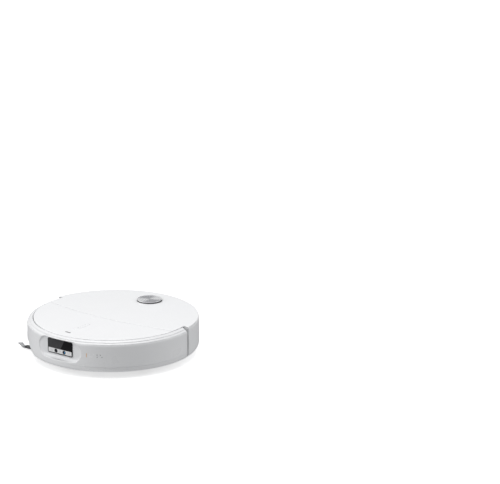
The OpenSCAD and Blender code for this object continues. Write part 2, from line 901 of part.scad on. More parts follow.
module dust_box() {
    h = bin_top - bin_cover_t - bin_floor;
    color("gray")
        difference() {
            translate([0, bin_y, bin_floor]) linear_extrude(h) round_rect(bin_w, bin_d, 5);
            translate([0, bin_y, bin_floor + bin_wall])
                linear_extrude(h) round_rect(bin_w - 2 * bin_wall, bin_d - 2 * bin_wall, 3.5);
            translate([-duct_w / 2, bin_y - bin_d / 2 - 1, duct_z0])
                cube([duct_w, bin_wall + 2, duct_z1 - duct_z0]);
            translate([bin_w / 2 - bin_wall - 1, outlet_y0, outlet_z0])
                cube([bin_wall + 2, outlet_y1 - outlet_y0, outlet_h]);
        }
}

module dust_box_cover() {
    color("dimgray")
        difference() {
            union() {
                translate([0, bin_y, bin_top - bin_cover_t])
                    linear_extrude(bin_cover_t) round_rect(bin_w, bin_d, 5);
                translate([0, bin_y, bin_top]) linear_extrude(2.4) round_rect(64, 8, 3.5);
            }
            for (s = [-1, 1])
                translate([0, bin_y + s * 15, bin_top - 1.2]) linear_extrude(3) round_rect(64, 20, 6);
        }
}

module filter() {
    x1 = bin_w / 2 - bin_wall;
    z0 = bin_floor + bin_wall;
    color("white")
        difference() {
            intersection() {
                translate([x1 - filter_t, outlet_y0 - 3, z0])
                    cube([filter_t, outlet_y1 - outlet_y0 + 6, bin_top - bin_cover_t - z0]);
                translate([0, bin_y, z0 - 1]) linear_extrude(bin_top - z0)
                    round_rect(bin_w - 2 * bin_wall, bin_d - 2 * bin_wall, 3.5);
            }
            for (i = [0:8])
                translate([x1 - filter_t - 1, outlet_y0 - 0.5 + 2.1 * i, z0 + 2])
                    cube([filter_t - 1, 1, bin_top - bin_cover_t - z0 - 4]);
        }
}

// ---------- lidar ----------

module lidar_turret() {
    low = rack_z0 + 1;
    floor_z = turret_floor;
    roof_z = top_z + 3.5;
    pitch = rack_module * PI;
    tip = 0.8 * rack_module;
    root = 1.05 * rack_module;
    slope = tan(pressure_deg);
    half = rack_module * PI / 4 - backlash / 2;
    color("whitesmoke")
        translate([0, lidar_y, 0]) {
            translate([0, 0, low]) tube(tube_r - run_gap, lidar_r - 3, floor_z - low);
            difference() {
                translate([0, 0, floor_z - 1]) cylinder(r = lidar_r - 1, h = 4);
                translate([0, 0, floor_z - 2]) cylinder(r = 3 + fit_gap, h = 6);
            }
            for (i = [0:2])
                rotate([0, 0, 120 * i + 30]) translate([lidar_r - 4, -3, floor_z + 2])
                    cube([3, 6, roof_z - floor_z - 2]);
            translate([0, 0, roof_z - 3]) cylinder(r = lidar_r - 0.6, h = 3);
            // The rack on the turret's side, with its teeth towards +X
            translate([tube_r - 1.5, -pinion_w / 2, low])
                cube([rack_x - root - tube_r + 1.6, pinion_w, pinion_z + pitch - low]);
            for (i = [-5:0])
                translate([rack_x, pinion_w / 2, pinion_z + (i + 0.5) * pitch])
                    rotate([90, 0, 0]) linear_extrude(pinion_w)
                        polygon([
                            [-root, -half - root * slope], [tip, -half + tip * slope],
                            [tip, half - tip * slope], [-root, half + root * slope]
                        ]);
        }
}

module lidar_cap() {
    color("silver")
        translate([0, lidar_y, top_z + 3.5])
            rotate_extrude() polygon([
                [0, 0], [lidar_r, 0], [lidar_r, 0.9], [lidar_r - 0.6, 1.5], [lidar_r - 1.6, 1.5],
                [lidar_r - 2.2, 1.1], [0, 1.1]
            ]);
}

module lidar_head() {
    floor_z = turret_floor;
    r = lidar_r - 6.5;
    color("black")
        translate([0, lidar_y, 0]) difference() {
            union() {
                translate([0, 0, floor_z + 3.6]) cylinder(r = r, h = 14);
                translate([0, 0, floor_z - 2]) cylinder(r = 3, h = 8);
            }
            for (x = [-7, 7])
                translate([x, -r - 1, floor_z + 11]) rotate([-90, 0, 0]) cylinder(r = 4.5, h = 5);
        }
}

module lift_pinion() {
    color("goldenrod")
        translate([rack_x + pinion_r, lidar_y + pinion_w / 2, pinion_z]) rotate([90, 0, 0]) {
            linear_extrude(pinion_w) rotate([0, 0, 180]) polygon(gear_points(pinion_teeth, rack_module));
            translate([0, 0, -4]) cylinder(r = 1.5, h = pinion_w + 5);
        }
}

module lift_motor() {
    color("silver")
        translate([rack_x + pinion_r, lidar_y + 30, pinion_z]) rotate([90, 0, 0]) difference() {
            cylinder(r = lift_motor_r, h = 25.6);
            translate([0, 0, 20]) cylinder(r = 1.5 + fit_gap, h = 7);
        }
}

// ---------- brushes ----------

module roller_core() {
    color("darkorange") {
        bar(roller_x0, roller_x1, core_r, -roller_y, roller_z);
        bar(tunnel_x1 - 4, tunnel_x1 + 1, roller_pin_r, -roller_y, roller_z);
        bar(belt_x + belt_w - 1, roller_x0, roller_pin_r, -roller_y, roller_z);
        bar(belt_x, belt_x + belt_w, roller_pulley_r, -roller_y, roller_z);
    }
}

module roller_bristles() {
    half = (roller_x1 - roller_x0) / 2 - 2;
    strips = 6;
    color("dimgray")
        translate([(roller_x0 + roller_x1) / 2, -roller_y, roller_z]) rotate([0, 90, 0])
            for (m = [0, 1])
                mirror([0, 0, m]) linear_extrude(half, twist = 70, slices = 14, $fn = 12)
                    for (i = [0:strips - 1])
                        rotate(360 * i / strips) translate([core_r + 0.06, -1.1])
                            square([roller_r - core_r - 0.06, i % 2 == 0 ? 2.2 : 3.2]);
}

module side_brush_hub() {
    color("dimgray")
        translate([side_x, side_y, side_arm_z]) {
            cylinder(r = side_hub_r, h = 5);
            translate([0, 0, 4]) cylinder(r = side_hub_r - 4, h = base_top - side_arm_z - 4.3);
            for (a = [0, 180])
                rotate([0, 0, side_deg + a]) translate([8, -3.5, 0]) cube([side_kink - 14, 7, 3.2]);
        }
}

// One tuft runs flat to its kink, then turns and rises to its tip
module side_brush_bristles() {
    tuft_t = 2.4;
    root = side_kink - 20;
    tip = side_reach - side_kink;
    color("gray")
        for (a = [0, 180])
            translate([side_x, side_y, side_arm_z - tuft_t]) rotate([0, 0, side_deg + a]) {
                linear_extrude(tuft_t)
                    polygon([[root, -2.6], [side_kink, -3.6], [side_kink, 3.6], [root, 2.6]]);
                translate([side_kink - 0.6, 0, 0]) rotate([0, 0, -16]) rotate([0, -brush_rise, 0])
                    linear_extrude(tuft_t)
                        polygon([[-0.6, -3.7], [tip - 3.3, -5.2], [tip - 0.6, 5.2], [0.6, 3.5]]);
            }
}

// ---------- caster ----------

module caster_fork() {
    cheek = 2.4;
    color("dimgray")
        difference() {
            union() {
                translate([0, caster_y, caster_r + 13.8]) cylinder(r = caster_bay_r - 1.2, h = 2.6);
                translate([0, caster_y, caster_r + 15]) cylinder(r = pin_r, h = 9);
                for (s = [-1, 1])
                    translate([s * (caster_w / 2 + 0.6 + cheek / 2) - cheek / 2,
                        caster_y + caster_trail - 5, caster_r - 4])
                        cube([cheek, 10, 18.4]);
            }
            bar(-20, 20, 2 + fit_gap, caster_y + caster_trail, caster_r);
        }
}

module caster_wheel() {
    color("gray") {
        bar(-caster_w / 2, caster_w / 2, caster_r, caster_y + caster_trail, caster_r);
        bar(-caster_w / 2 - 2.6, caster_w / 2 + 2.6, 2, caster_y + caster_trail, caster_r);
    }
}

// ---------- mops ----------

module mop_carriage() {
    color("whitesmoke")
        difference() {
            union() {
                translate([-mop_x, mop_y - 11, carriage_z]) cube([2 * mop_x, 18, carriage_h]);
                for (s = [-1, 1])
                    translate([s * mop_x, mop_y, carriage_z]) cylinder(r = 14, h = carriage_h);
            }
            for (s = [-1, 1])
                translate([s * mop_x, mop_y, carriage_z - 1])
                    cylinder(r = shaft_r + fit_gap, h = carriage_h - 1);
        }
}

module mop_motor() {
    color("silver")
        translate([0, mop_y - 2, carriage_z + carriage_h + mop_motor_r]) {
            bar(-26, 26, mop_motor_r, 0, 0);
            bar(-34, -26, 4, 0, 0);
            translate([-20, -6, -mop_motor_r]) cube([40, 12, 6]);
        }
}

module mop_plate(s) {
    color("gray")
        translate([s * mop_x, mop_y, 0]) {
            translate([0, 0, pad_t]) cylinder(r = pad_r - 2, h = plate_h);
            translate([0, 0, pad_t + plate_h - 1]) cylinder(r = 14, h = 6);
            translate([0, 0, pad_t + plate_h])
                cylinder(r = shaft_r, h = carriage_z + carriage_h - 3 - pad_t - plate_h);
        }
}

module mop_pad(s) {
    color("silver")
        translate([s * mop_x, mop_y, 0])
            rotate_extrude() polygon(concat(
                [[0, 0]],
                quarter(pad_r - 3, 3, 3, 3, -90, 0, 4),
                quarter(pad_r - 3, pad_t - 3, 3, 3, 0, 90, 4),
                [[0, pad_t]]
            ));
}

// ---------- drive wheels, drawn on the +X side ----------

module side(s) {
    mirror([s < 0 ? 1 : 0, 0, 0]) children();
}

module wheel_arm(s) {
    color("dimgray")
        side(s)
            difference() {
                union() {
                    bar(arm_x0, arm_x1, arm_r, wheel_y, wheel_r);
                    bar(arm_x0, arm_x1, arm_r, pivot_y, wheel_r);
                    translate([arm_x0, pivot_y, wheel_r - arm_r]) cube([arm_x1 - arm_x0, arm_len, 2 * arm_r]);
                    bar(arm_x0 - 0.6 - bracket_t, arm_x0, pin_r, pivot_y, wheel_r);
                }
                bar(arm_x0 + 2, arm_x1 - 2, arm_r - 2, wheel_y, wheel_r);
                bar(arm_x0 + 2, arm_x1 - 2, arm_r - 2, pivot_y, wheel_r);
                translate([arm_x0 + 2, pivot_y, wheel_r - arm_r + 2])
                    cube([arm_x1 - arm_x0 - 4, arm_len, 2 * arm_r - 4]);
                bar(arm_x1 - 3, arm_x1 + 1, axle_r + fit_gap, wheel_y, wheel_r);
            }
}

module wheel_motor(s) {
    color("silver")
        side(s) {
            bar(arm_x1, outer_x - 1, motor_r, pivot_y, wheel_r);
            bar(outer_x - 1, outer_x + bracket_t, pin_r, pivot_y, wheel_r);
        }
}

module wheel_spring(s) {
    color("silver")
        side(s) translate([arm_x1 + 1, pivot_y, wheel_r]) rotate([0, 90, 0])
            coil(coil_r, coil_wire, coil_pitch, coil_turns);
}

module wheel_hub(s) {
    x0 = wheel_x - wheel_w / 2;
    spokes = 6;
    color("dimgray")
        side(s)
            difference() {
                union() {
                    bar(x0 + 1, x0 + wheel_w - 1, hub_r, wheel_y, wheel_r);
                    bar(arm_x0 + 5, x0 + 2, axle_r, wheel_y, wheel_r);
                    bar(arm_x0 + 5, arm_x0 + 10, arm_r - 4, wheel_y, wheel_r);
                }
                bar(x0 + wheel_w - 6, x0 + wheel_w, hub_r - 3, wheel_y, wheel_r);
                for (i = [0:spokes - 1])
                    translate([x0 - 1, wheel_y, wheel_r]) rotate([60 * i, 0, 0])
                        translate([0, hub_r * 0.6, 0]) rotate([0, 90, 0]) cylinder(r = 4.5, h = wheel_w + 2);
            }
}

module tyre(s) {
    x0 = wheel_x - wheel_w / 2;
    lugs = 24;
    color("dimgray")
        side(s)
            difference() {
                bar(x0, x0 + wheel_w, wheel_r, wheel_y, wheel_r);
                bar(x0 - 1, x0 + wheel_w + 1, hub_r, wheel_y, wheel_r);
                for (i = [0:lugs - 1])
                    translate([x0 - 1, wheel_y, wheel_r]) rotate([360 * (i + 0.5) / lugs, 0, 0])
                        translate([0, -1.3, wheel_r - 1.6]) cube([wheel_w + 2, 2.6, 4]);
            }
}

base_pan();
roller_housing();
roller_guard();
chassis_wall();
rear_shell();
mid_deck();
crown_ring();
front_panel();
status_light();
main_board();
battery();
roller_motor();
drive_belt();
side_brush_motor();
fan_housing();
water_tank();
lift_motor();
cliff_windows();
charging_contacts();
base_screws();
bumper();
sensor_bezel();
sensor_window();
camera_strip();
camera_lenses();
side_sensor_cover();
lid();
dust_box();
dust_box_cover();
filter();
lidar_turret();
lidar_cap();
lidar_head();
lift_pinion();
power_button();
roller_core();
roller_bristles();
motor_pulley();
side_brush_hub();
side_brush_bristles();
caster_fork();
caster_wheel();
mop_carriage();
mop_motor();
mop_plate(1);  // left_mop_plate
mop_pad(1);  // left_mop_pad
mop_plate(-1);  // right_mop_plate
mop_pad(-1);  // right_mop_pad
fan_impeller();
wheel_arm(1);  // left_wheel_arm
wheel_motor(1);  // left_wheel_motor
wheel_hub(1);  // left_wheel_hub
tyre(1);  // left_tyre
wheel_spring(1);  // left_wheel_spring
wheel_arm(-1);  // right_wheel_arm
wheel_motor(-1);  // right_wheel_motor
wheel_hub(-1);  // right_wheel_hub
tyre(-1);  // right_tyre
wheel_spring(-1);  // right_wheel_spring
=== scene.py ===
import json
import math
import random

import bmesh
import bpy
from mathutils import Matrix, Vector

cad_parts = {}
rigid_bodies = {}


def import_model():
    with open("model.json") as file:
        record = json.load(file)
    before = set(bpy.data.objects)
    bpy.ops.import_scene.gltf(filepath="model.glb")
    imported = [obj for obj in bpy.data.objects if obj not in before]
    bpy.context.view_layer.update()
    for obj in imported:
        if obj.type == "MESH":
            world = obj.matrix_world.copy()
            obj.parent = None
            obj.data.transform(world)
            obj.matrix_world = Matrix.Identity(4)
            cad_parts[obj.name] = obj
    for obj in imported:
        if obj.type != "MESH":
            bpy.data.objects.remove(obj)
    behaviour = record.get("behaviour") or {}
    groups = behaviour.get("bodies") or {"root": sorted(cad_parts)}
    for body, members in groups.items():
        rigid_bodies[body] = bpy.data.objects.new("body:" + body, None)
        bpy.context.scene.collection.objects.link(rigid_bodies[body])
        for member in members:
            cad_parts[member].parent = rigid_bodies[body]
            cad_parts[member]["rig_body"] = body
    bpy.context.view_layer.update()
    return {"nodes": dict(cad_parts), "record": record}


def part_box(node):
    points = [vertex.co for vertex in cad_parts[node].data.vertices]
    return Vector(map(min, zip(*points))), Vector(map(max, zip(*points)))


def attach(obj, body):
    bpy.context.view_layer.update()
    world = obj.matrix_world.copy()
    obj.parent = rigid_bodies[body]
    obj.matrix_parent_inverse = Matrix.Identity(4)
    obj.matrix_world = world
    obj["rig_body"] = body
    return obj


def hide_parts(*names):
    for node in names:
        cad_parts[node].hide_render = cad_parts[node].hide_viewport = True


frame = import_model()

# ---------------------------------------------------------------- sizes, in millimetres

MM = 0.001


def low(node, axis):
    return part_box(node)[0]["XYZ".index(axis)] / MM


def high(node, axis):
    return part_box(node)[1]["XYZ".index(axis)] / MM


def middle(node, axis):
    return (low(node, axis) + high(node, axis)) / 2


def width(node, axis):
    return high(node, axis) - low(node, axis)


BODY_R = high("bumper", "X")
BUMPER_LOW = low("bumper", "Z")
BUMPER_TOP = high("bumper", "Z")
BUMPER_HALF_DEG = 97.3
SHELL_HALF_DEG = 99.92
SHELL_LOW = low("rear_shell", "Z")
SHELL_TOP = high("rear_shell", "Z")
RIM_R = 169.6
RIM_DROP = 7.0
CREASE_Z = 24.4
LIP_R = 167.2
SHELL_MID_Z = 44.0

COVER_R = high("lid", "Y")
PANEL_R = -low("front_panel", "Y")
EDGE_Z = 78.0
CROWN = 2.5
STEP_Y = 29.0
SEAM_R = 580.0
SEAM_FRONT_Y = -32.0
SEAM_GAP = 0.5
COVER_UNDER_Z = low("front_panel", "Z")

RECESS_HALF_W = width("sensor_bezel", "X") / 2
RECESS_R = width("sensor_bezel", "Z") / 2
RECESS_Z = middle("sensor_bezel", "Z")
RECESS_FLOOR_Y = high("sensor_window", "Y")

LIDAR_Y = middle("lidar_cap", "Y")
LIDAR_R = width("lidar_cap", "X") / 2
CAP_LOW = low("lidar_cap", "Z")
CAP_TOP = high("lidar_cap", "Z")

CONTACT_X, CONTACT_Z = 17.0, CREASE_Z + 12.5

random.seed(7)

# ---------------------------------------------------------------- camera, floor and light

VIEW_AZIMUTH = math.radians(36.72)
VIEW_PITCH = math.radians(16.3)
camera = bpy.data.objects.new("camera", bpy.data.cameras.new("camera"))
bpy.context.collection.objects.link(camera)
camera.data.lens = 185.54
camera.data.sensor_width = 36.0
camera.data.clip_start = 0.05
camera.data.clip_end = 60.0
camera.location = (3.2095, -3.8368, 1.6934)
camera_back = Vector((
    math.sin(VIEW_AZIMUTH) * math.cos(VIEW_PITCH),
    -math.cos(VIEW_AZIMUTH) * math.cos(VIEW_PITCH),
    math.sin(VIEW_PITCH),
))
camera.rotation_mode = "QUATERNION"
camera.rotation_quaternion = (-camera_back).to_track_quat("-Z", "Y")
bpy.context.scene.camera = camera
bpy.context.scene.view_settings.view_transform = "Standard"


def make_world():
    """A soft grey surround that is plain white behind the object."""
    world = bpy.data.worlds.new("studio")
    bpy.context.scene.world = world
    world.use_nodes = True
    nodes, links = world.node_tree.nodes, world.node_tree.links
    surround = nodes["Background"]
    surround.inputs["Color"].default_value = (0.97, 0.985, 1.0, 1.0)
    surround.inputs["Strength"].default_value = 0.36
    backdrop = nodes.new("ShaderNodeBackground")
    backdrop.inputs["Color"].default_value = (1.0, 1.0, 1.0, 1.0)
    seen = nodes.new("ShaderNodeLightPath")
    both = nodes.new("ShaderNodeMixShader")
    links.new(seen.outputs["Is Camera Ray"], both.inputs[0])
    links.new(surround.outputs[0], both.inputs[1])
    links.new(backdrop.outputs[0], both.inputs[2])
    links.new(both.outputs[0], nodes["World Output"].inputs["Surface"])


def make_floor():
    """A white floor that keeps only a soft contact shadow, and that is clear from below."""
    bm = bmesh.new()
    bmesh.ops.create_grid(bm, x_segments=8, y_segments=8, size=9.0)
    mesh = bpy.data.meshes.new("floor")
    bm.to_mesh(mesh)
    bm.free()
    floor = bpy.data.objects.new("floor", mesh)
    floor.location.z = -0.0004
    bpy.context.collection.objects.link(floor)
    mat = bpy.data.materials.new("floor")
    mat.use_nodes = True
    nodes, links = mat.node_tree.nodes, mat.node_tree.links
    nodes.clear()
    output = nodes.new("ShaderNodeOutputMaterial")
    diffuse = nodes.new("ShaderNodeBsdfDiffuse")
    diffuse.inputs["Color"].default_value = (0.82, 0.82, 0.82, 1.0)
    glow = nodes.new("ShaderNodeEmission")
    glow.inputs["Color"].default_value = (1.0, 1.0, 1.0, 1.0)
    seen = nodes.new("ShaderNodeLightPath")
    links.new(seen.outputs["Is Camera Ray"], glow.inputs["Strength"])
    where = nodes.new("ShaderNodeTexCoord")
    distance = nodes.new("ShaderNodeVectorMath")
    distance.operation = "LENGTH"
    links.new(where.outputs["Object"], distance.inputs[0])
    fade = nodes.new("ShaderNodeMapRange")
    links.new(distance.outputs["Value"], fade.inputs["Value"])
    fade.inputs["From Min"].default_value = 0.25
    fade.inputs["From Max"].default_value = 1.2
    fade.inputs["To Min"].default_value = 0.6
    faded = nodes.new("ShaderNodeMixShader")
    links.new(fade.outputs["Result"], faded.inputs[0])
    lit = nodes.new("ShaderNodeAddShader")
    clear = nodes.new("ShaderNodeBsdfTransparent")
    geometry = nodes.new("ShaderNodeNewGeometry")
    side = nodes.new("ShaderNodeMixShader")
    links.new(diffuse.outputs[0], lit.inputs[0])
    links.new(glow.outputs[0], lit.inputs[1])
    links.new(diffuse.outputs[0], faded.inputs[1])
    links.new(lit.outputs[0], faded.inputs[2])
    links.new(geometry.outputs["Backfacing"], side.inputs[0])
    links.new(faded.outputs[0], side.inputs[1])
    links.new(clear.outputs[0], side.inputs[2])
    links.new(side.outputs[0], output.inputs["Surface"])
    mesh.materials.append(mat)
    floor.visible_diffuse = False
    floor.visible_glossy = False
    floor.visible_shadow = False


def softbox(name, azimuth, elevation, distance, size, watts):
    """A square light that faces the body from that side. Azimuth 0 is the front, 90 the body's left."""
    a, e = math.radians(azimuth), math.radians(elevation)
    away = Vector((math.sin(a) * math.cos(e), -math.cos(a) * math.cos(e), math.sin(e)))
    light = bpy.data.lights.new(name, "AREA")
    light.shape = "SQUARE"
    light.size = size
    light.energy = watts
    lamp = bpy.data.objects.new(name, light)
    lamp.location = away * distance
    lamp.rotation_mode = "QUATERNION"
    lamp.rotation_quaternion = away.to_track_quat("Z", "Y")
    lamp.visible_camera = False
    bpy.context.collection.objects.link(lamp)


make_world()
make_floor()
softbox("overhead", 0, 84, 2.2, 2.2, 34)
softbox("front", -40, 22, 2.6, 1.5, 27)
softbox("left_side", 122, 24, 2.6, 1.2, 17)
softbox("back", 192, 16, 2.6, 0.9, 1.6)
softbox("under", 20, -70, 2.0, 1.6, 9)

# ---------------------------------------------------------------- finishes


VECTOR, COLOUR, NUMBER = "NodeSocketVector", "NodeSocketColor", "NodeSocketFloat"
# Turn of the noise's grid about X, Y and Z, in radians
GRID_TILT = (0.61, 0.43, 0.87)
# Direction of the painted highlight sector on spun metal, from +X
PAINTED_GLINT_AXIS = math.radians(60)


def group_tree(name, inputs, outputs):
    """A new shader group with its input and output nodes. Each socket is (name, type, value)."""
    tree = bpy.data.node_groups.new(name, "ShaderNodeTree")
    for label, kind, value in inputs:
        socket = tree.interface.new_socket(name=label, in_out="INPUT", socket_type=kind)
        if value is not None:
            socket.default_value = value
    for label, kind in outputs:
        tree.interface.new_socket(name=label, in_out="OUTPUT", socket_type=kind)
    return tree, tree.nodes.new("NodeGroupInput"), tree.nodes.new("NodeGroupOutput")


def feed(tree, value, socket):
    """Links an output to a socket, or sets the socket to a plain value."""
    if isinstance(value, bpy.types.NodeSocket):
        tree.links.new(value, socket)
    else:
        socket.default_value = value


def set_inputs(tree, node, values):
    """Feeds a node's named inputs, each with an output or a plain value."""
    for label, value in values.items():
        feed(tree, value, node.inputs[label])


def noise(tree, vector, scale, detail=2.0, rough=0.5):
    """Noise whose grid is tilted, so that no flat face lies along it."""
    tilt = tree.nodes.new("ShaderNodeMapping")
    tilt.inputs["Rotation"].default_value = GRID_TILT
    tree.links.new(vector, tilt.inputs["Vector"])
    node = tree.nodes.new("ShaderNodeTexNoise")
    vector = tilt.outputs["Vector"]
    set_inputs(tree, node, {"Detail": detail, "Roughness": rough, "Scale": scale, "Vector": vector})
    return node.outputs["Fac"]


def math_node(tree, operation, *values):
    node = tree.nodes.new("ShaderNodeMath")
    node.operation = operation
    for socket, value in zip(node.inputs, values):
        feed(tree, value, socket)
    return node.outputs[0]


def weighted_sum(tree, a, share_a, b, share_b):
    scaled = [math_node(tree, "MULTIPLY", value, share) for value, share in ((a, share_a), (b, share_b))]
    return math_node(tree, "ADD", *scaled)


def spread(tree, value, low_end, high_end, low_start=0.0, high_start=1.0):
    """Maps a value from low_start..high_start to low_end..high_end, and holds it there."""
    node = tree.nodes.new("ShaderNodeMapRange")
    set_inputs(tree, node, {"From Min": low_start, "From Max": high_start, "Value": value})
    set_inputs(tree, node, {"To Min": low_end, "To Max": high_end})
    return node.outputs["Result"]


def mix_colour(tree, factor, a, b):
    node = tree.nodes.new("ShaderNodeMix")
    node.data_type = "RGBA"
    colour_inputs = [s for s in node.inputs if s.type == "RGBA"]
    factor_input = next(s for s in node.inputs if s.type == "VALUE" and s.name == "Factor")
    for socket, value in ((factor_input, factor), (colour_inputs[0], a), (colour_inputs[1], b)):
        feed(tree, value, socket)
    return next(s for s in node.outputs if s.type == "RGBA")


def make_moulded_group():
    """Moulded plastic: a fine grain to emboss, and slow changes of shade and gloss."""
    tree, start, end = group_tree(
        "moulded_plastic",
        [("Vector", VECTOR, None), ("Light", COLOUR, None), ("Shade", COLOUR, None),
         ("Grain scale", NUMBER, 900.0), ("Low gloss", NUMBER, 0.4), ("High gloss", NUMBER, 0.3)],
        [("Color", COLOUR), ("Roughness", NUMBER), ("Height", NUMBER)],
    )
    grain = noise(tree, start.outputs["Vector"], start.outputs["Grain scale"], 3.0, 0.6)
    slow = noise(tree, start.outputs["Vector"], 14.0, 3.0, 0.55)
    mottle = weighted_sum(tree, slow, 0.75, grain, 0.25)
    shade = spread(tree, mottle, 0.0, 1.0, 0.3, 0.7)
    colour = mix_colour(tree, shade, start.outputs["Light"], start.outputs["Shade"])
    gloss = spread(tree, slow, start.outputs["High gloss"], start.outputs["Low gloss"], 0.3, 0.7)
    set_inputs(tree, end, {"Color": colour, "Roughness": gloss, "Height": grain})
    return tree


def make_brushed_group():
    """Spun metal: fine rings about the Z axis, broken up along their length, with light and dark sectors painted
    into the colour as painted highlight and painted shade.
    """
    tree, start, end = group_tree(
        "spun_metal",
        [("Vector", VECTOR, None), ("Light", COLOUR, None), ("Shade", COLOUR, None),
         ("Ring scale", NUMBER, 4000.0)],
        [("Color", COLOUR), ("Roughness", NUMBER), ("Height", NUMBER)],
    )
    split = tree.nodes.new("ShaderNodeSeparateXYZ")
    tree.links.new(start.outputs["Vector"], split.inputs[0])
    x, y = split.outputs[0], split.outputs[1]
    radius = math_node(tree, "SQRT", weighted_sum(tree, x, x, y, y))
    turn = math_node(tree, "ARCTAN2", y, x)
    rings = tree.nodes.new("ShaderNodeCombineXYZ")
    tree.links.new(math_node(tree, "MULTIPLY", radius, start.outputs["Ring scale"]), rings.inputs[0])
    tree.links.new(math_node(tree, "MULTIPLY", turn, 1.3), rings.inputs[1])
    grain = noise(tree, rings.outputs[0], 1.0, 4.0, 0.7)
    # Painted highlight and painted shade: light and dark sectors about the centre, painted into the colour in
    # place of the glint of turned metal
    twice_turned = math_node(tree, "MULTIPLY", turn, 2.0)
    painted_glint_sector = math_node(tree, "COSINE", math_node(tree, "SUBTRACT", twice_turned, 2 * PAINTED_GLINT_AXIS))
    painted_shade_and_grain = math_node(tree, "MULTIPLY", spread(tree, painted_glint_sector, 1.0, 0.0, -0.3, 0.9), 0.8)
    painted_shade_and_grain = math_node(tree, "ADD", painted_shade_and_grain, spread(tree, grain, 0.0, 0.2, 0.3, 0.7))
    colour = mix_colour(tree, painted_shade_and_grain, start.outputs["Light"], start.outputs["Shade"])
    gloss = spread(tree, grain, 0.22, 0.36, 0.3, 0.7)
    set_inputs(tree, end, {"Color": colour, "Roughness": gloss, "Height": grain})
    return tree


def make_pile_group():
    """Looped cloth: round loops with lighter tips, in bands; the colour is painted darker down in the hollows
    between loops, as painted shade.
    """
    tree, start, end = group_tree(
        "looped_pile",
        [("Vector", VECTOR, None), ("Tip", COLOUR, None), ("Root", COLOUR, None),
         ("Loop scale", NUMBER, 420.0)],
        [("Color", COLOUR), ("Roughness", NUMBER), ("Height", NUMBER)],
    )
    cells = tree.nodes.new("ShaderNodeTexVoronoi")
    cells.feature = "SMOOTH_F1"
    set_inputs(tree, cells, {"Vector": start.outputs["Vector"], "Scale": start.outputs["Loop scale"]})
    loops = spread(tree, cells.outputs["Distance"], 1.0, 0.0, 0.0, 0.75)
    fibre = noise(tree, start.outputs["Vector"], 1900.0, 3.0, 0.7)
    height = weighted_sum(tree, loops, 0.8, fibre, 0.35)
    patch = noise(tree, start.outputs["Vector"], 40.0, 2.0, 0.5)
    # Painted shade: the lower a point lies on the loops, the nearer its colour to Root; random patches vary the
    # tone as well
    loop_shade_and_patch = weighted_sum(tree, height, 0.8, patch, 0.25)
    loop_shade_and_patch = spread(tree, loop_shade_and_patch, 0.0, 1.0, 0.25, 1.05)
    colour = mix_colour(tree, loop_shade_and_patch, start.outputs["Root"], start.outputs["Tip"])
    gloss = spread(tree, fibre, 0.85, 1.0, 0.3, 0.7)
    set_inputs(tree, end, {"Color": colour, "Roughness": gloss, "Height": height})
    return tree


def make_dust_group():
    """Floor dust: a pale film that thickens towards the floor and sits in patches."""
    tree, start, end = group_tree(
        "floor_dust",
        [("Vector", VECTOR, None), ("Color", COLOUR, None), ("Dust", COLOUR, None),
         ("Reach", NUMBER, 0.03), ("Amount", NUMBER, 0.35)],
        [("Color", COLOUR), ("Mask", NUMBER)],
    )
    split = tree.nodes.new("ShaderNodeSeparateXYZ")
    tree.links.new(start.outputs["Vector"], split.inputs[0])
    near_floor = spread(tree, split.outputs[2], 1.0, 0.1, 0.0, start.outputs["Reach"])
    patch = spread(tree, noise(tree, start.outputs["Vector"], 95.0, 5.0, 0.65), 0.0, 1.0, 0.42, 0.68)
    mask = math_node(tree, "MULTIPLY", near_floor, patch)
    mask = math_node(tree, "MULTIPLY", mask, start.outputs["Amount"])
    colour = mix_colour(tree, mask, start.outputs["Color"], start.outputs["Dust"])
    set_inputs(tree, end, {"Color": colour, "Mask": mask})
    return tree


MOULDED = make_moulded_group()
BRUSHED = make_brushed_group()
PILE = make_pile_group()
DUST = make_dust_group()
DUST_COLOUR = (0.42, 0.40, 0.37, 1.0)
FINISH = {}


def rgba(colour):
    return (*colour, 1.0)


def place_group(mat, tree, centre=(0, 0, 0)):
    """A group placed in a material, fed with Object coordinates that start at centre."""
    nodes, links = mat.node_tree.nodes, mat.node_tree.links
    where = nodes.new("ShaderNodeTexCoord")
    shift = nodes.new("ShaderNodeMapping")
    shift.inputs["Location"].default_value = tuple(-c * MM for c in centre)
    links.new(where.outputs["Object"], shift.inputs["Vector"])
    group = nodes.new("ShaderNodeGroup")
    group.node_tree = tree
    links.new(shift.outputs["Vector"], group.inputs["Vector"])
    return group


def base_material(name):
    mat = bpy.data.materials.new(name)
    mat.use_nodes = True
    FINISH[name] = mat
    return mat, mat.node_tree.nodes["Principled BSDF"]


def bump_from(mat, shader, height, strength, distance):
    bump = mat.node_tree.nodes.new("ShaderNodeBump")
    set_inputs(mat.node_tree, bump, {"Strength": strength, "Distance": distance * MM, "Height": height})
    mat.node_tree.links.new(bump.outputs["Normal"], shader.inputs["Normal"])


def add_dust(mat, shader, colour_socket, amount, reach):
    """Puts floor dust over a colour and feeds it to the shader."""
    dust = place_group(mat, DUST)
    set_inputs(mat.node_tree, dust, {
        "Dust": DUST_COLOUR, "Amount": amount, "Reach": reach * MM, "Color": colour_socket,
    })
    mat.node_tree.links.new(dust.outputs["Color"], shader.inputs["Base Color"])


